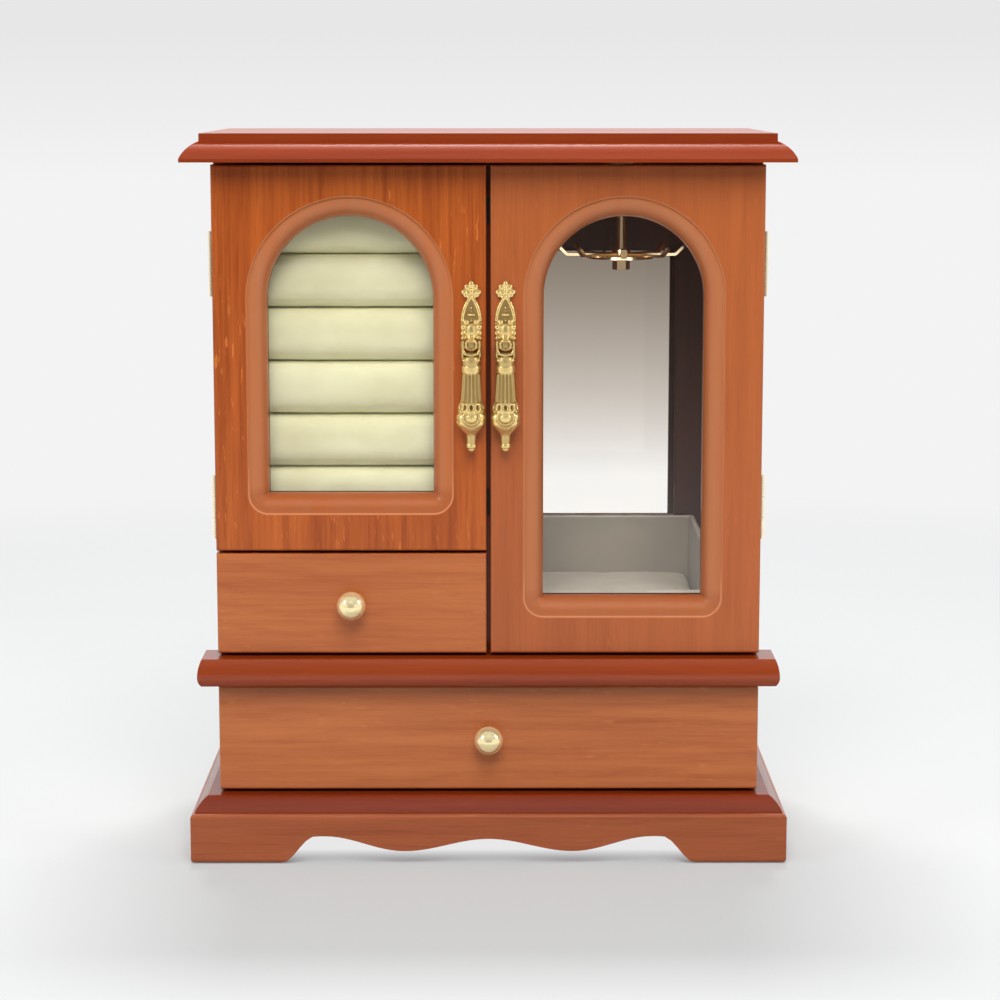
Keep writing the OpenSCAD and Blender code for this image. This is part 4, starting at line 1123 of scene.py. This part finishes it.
def turned_drop():
    """The drop without its fork, from the neck down to the tip."""
    points = []
    top, tip = TURNING[0][0], TURNING[-1][0]
    for row in range(ROWS + 1):
        up = top + (tip - top) * row / ROWS
        for turn in range(AROUND):
            angle = 2 * math.pi * turn / AROUND
            wrapped = (angle + math.pi) % (2 * math.pi) - math.pi
            reach = max(0.08, turned_radius(up) + carved(up, wrapped))
            depth = min(-reach * math.cos(angle), DOOR_SIDE)
            points.append((reach * math.sin(angle) * MM, depth * MM, up * MM))
    faces = [face[:1] + face[:0:-1] for face in swept_faces(ROWS, AROUND)]
    return make_piece("cast_right_pull_drop", points, faces, ornament_brass)


def hollow(at):
    """Dark under its plain profile, and darkened all over on the neck, the stem and the column.
    """
    if at.y > 3:
        return 0.0
    # The neck, the stem and the fluted column are darkened all over, not only where they are
    # sunk.
    shade = 0.55 if at.z > -8.9 or -42.6 < at.z < -38.6 else 0.1
    if -24.6 < at.z < -12.6:
        shade = 0.4
    return shade + (turned_radius(at.z) - math.hypot(at.x, at.y)) / 0.9


drop = turned_drop()
tarnish(drop, hollow)
print("drop:", len(drop.data.vertices), "points")

# %% [markdown]
# Above the column the drop ends in a fork: two slim cheeks with a bead at each shoulder, and the
# pin that joins them through the eye. They are lumps again, and then joined to the turning.

# %% Add the fork and hang the pulls
cheeks = [(3.75, 0, 0, 0.72, 2.15, 2.15, 0), (3.75, 0, -1.4, 0.7, 2.0, 1.8, 0),
          (3.75, 0, -3.0, 0.7, 1.9, 1.8, 0), (3.65, 0, -4.6, 0.8, 1.9, 1.6, 0),
          (2.6, 0.3, -6.6, 1.5, 2.5, 1.5, 0), (0, 0.3, -6.6, 3.2, 2.6, 1.6, 0)]
shoulders = [(2.75, 2.1, -6.5, 1.1, 1.15, 0.9, 0)]
loop = bead_line(0.48, (3.5, 1.9, 1.2), ((3.5, 2.05, -2.2), 9), ((2.6, 2.1, -3.9), 6, 0.5),
                 ((0.2, 2.1, -4.5), 7, 0.55))
yoke = bead_line(0.85, (0.0, 0.2, -4.0), ((2.6, 0.2, -4.0), 5))
pin = bead_line(0.7, (-4.2, 0, 0), ((4.2, 0, 0), 25))
fork = lumps("fork", both_sides(cheeks + shoulders + loop + yoke) + pin, 0.22, 1)
# The fork is darkened towards the door; only its front stays bright.
tarnish(fork, lambda at: (at.y + 2.0) / 0.5 * 0.8)


def join(first, second):
    """Adds the second piece's mesh to the first piece."""
    merged = bmesh.new()
    merged.from_mesh(first.data)
    merged.from_mesh(second.data)
    merged.to_mesh(first.data)
    merged.free()
    first.data.shade_smooth()
    bpy.data.objects.remove(second)


def hang(piece, node, at):
    """Moves a casting to its place on the right door and adds its mirror image."""
    piece.data.transform(Matrix.Translation(Vector(at) * MM))
    other = make_piece(piece.name.replace("right", "left"), [], [], ornament_brass)
    other.data = piece.data.copy()
    other.data.transform(Matrix.Diagonal((-1, 1, 1, 1)))
    other.data.flip_normals()
    stands_for(piece, f"right_{node}")
    stands_for(other, f"left_{node}")


join(drop, fork)
PULL_X, DOOR_FACE_Y, PIVOT_Y, PIVOT_Z = 7.3, -63, -67.8, 226.7
hang(plate, "pull_plate", (PULL_X, DOOR_FACE_Y, PIVOT_Z))
hang(drop, "pull_drop", (PULL_X, PIVOT_Y, PIVOT_Z))
print("pulls hung")
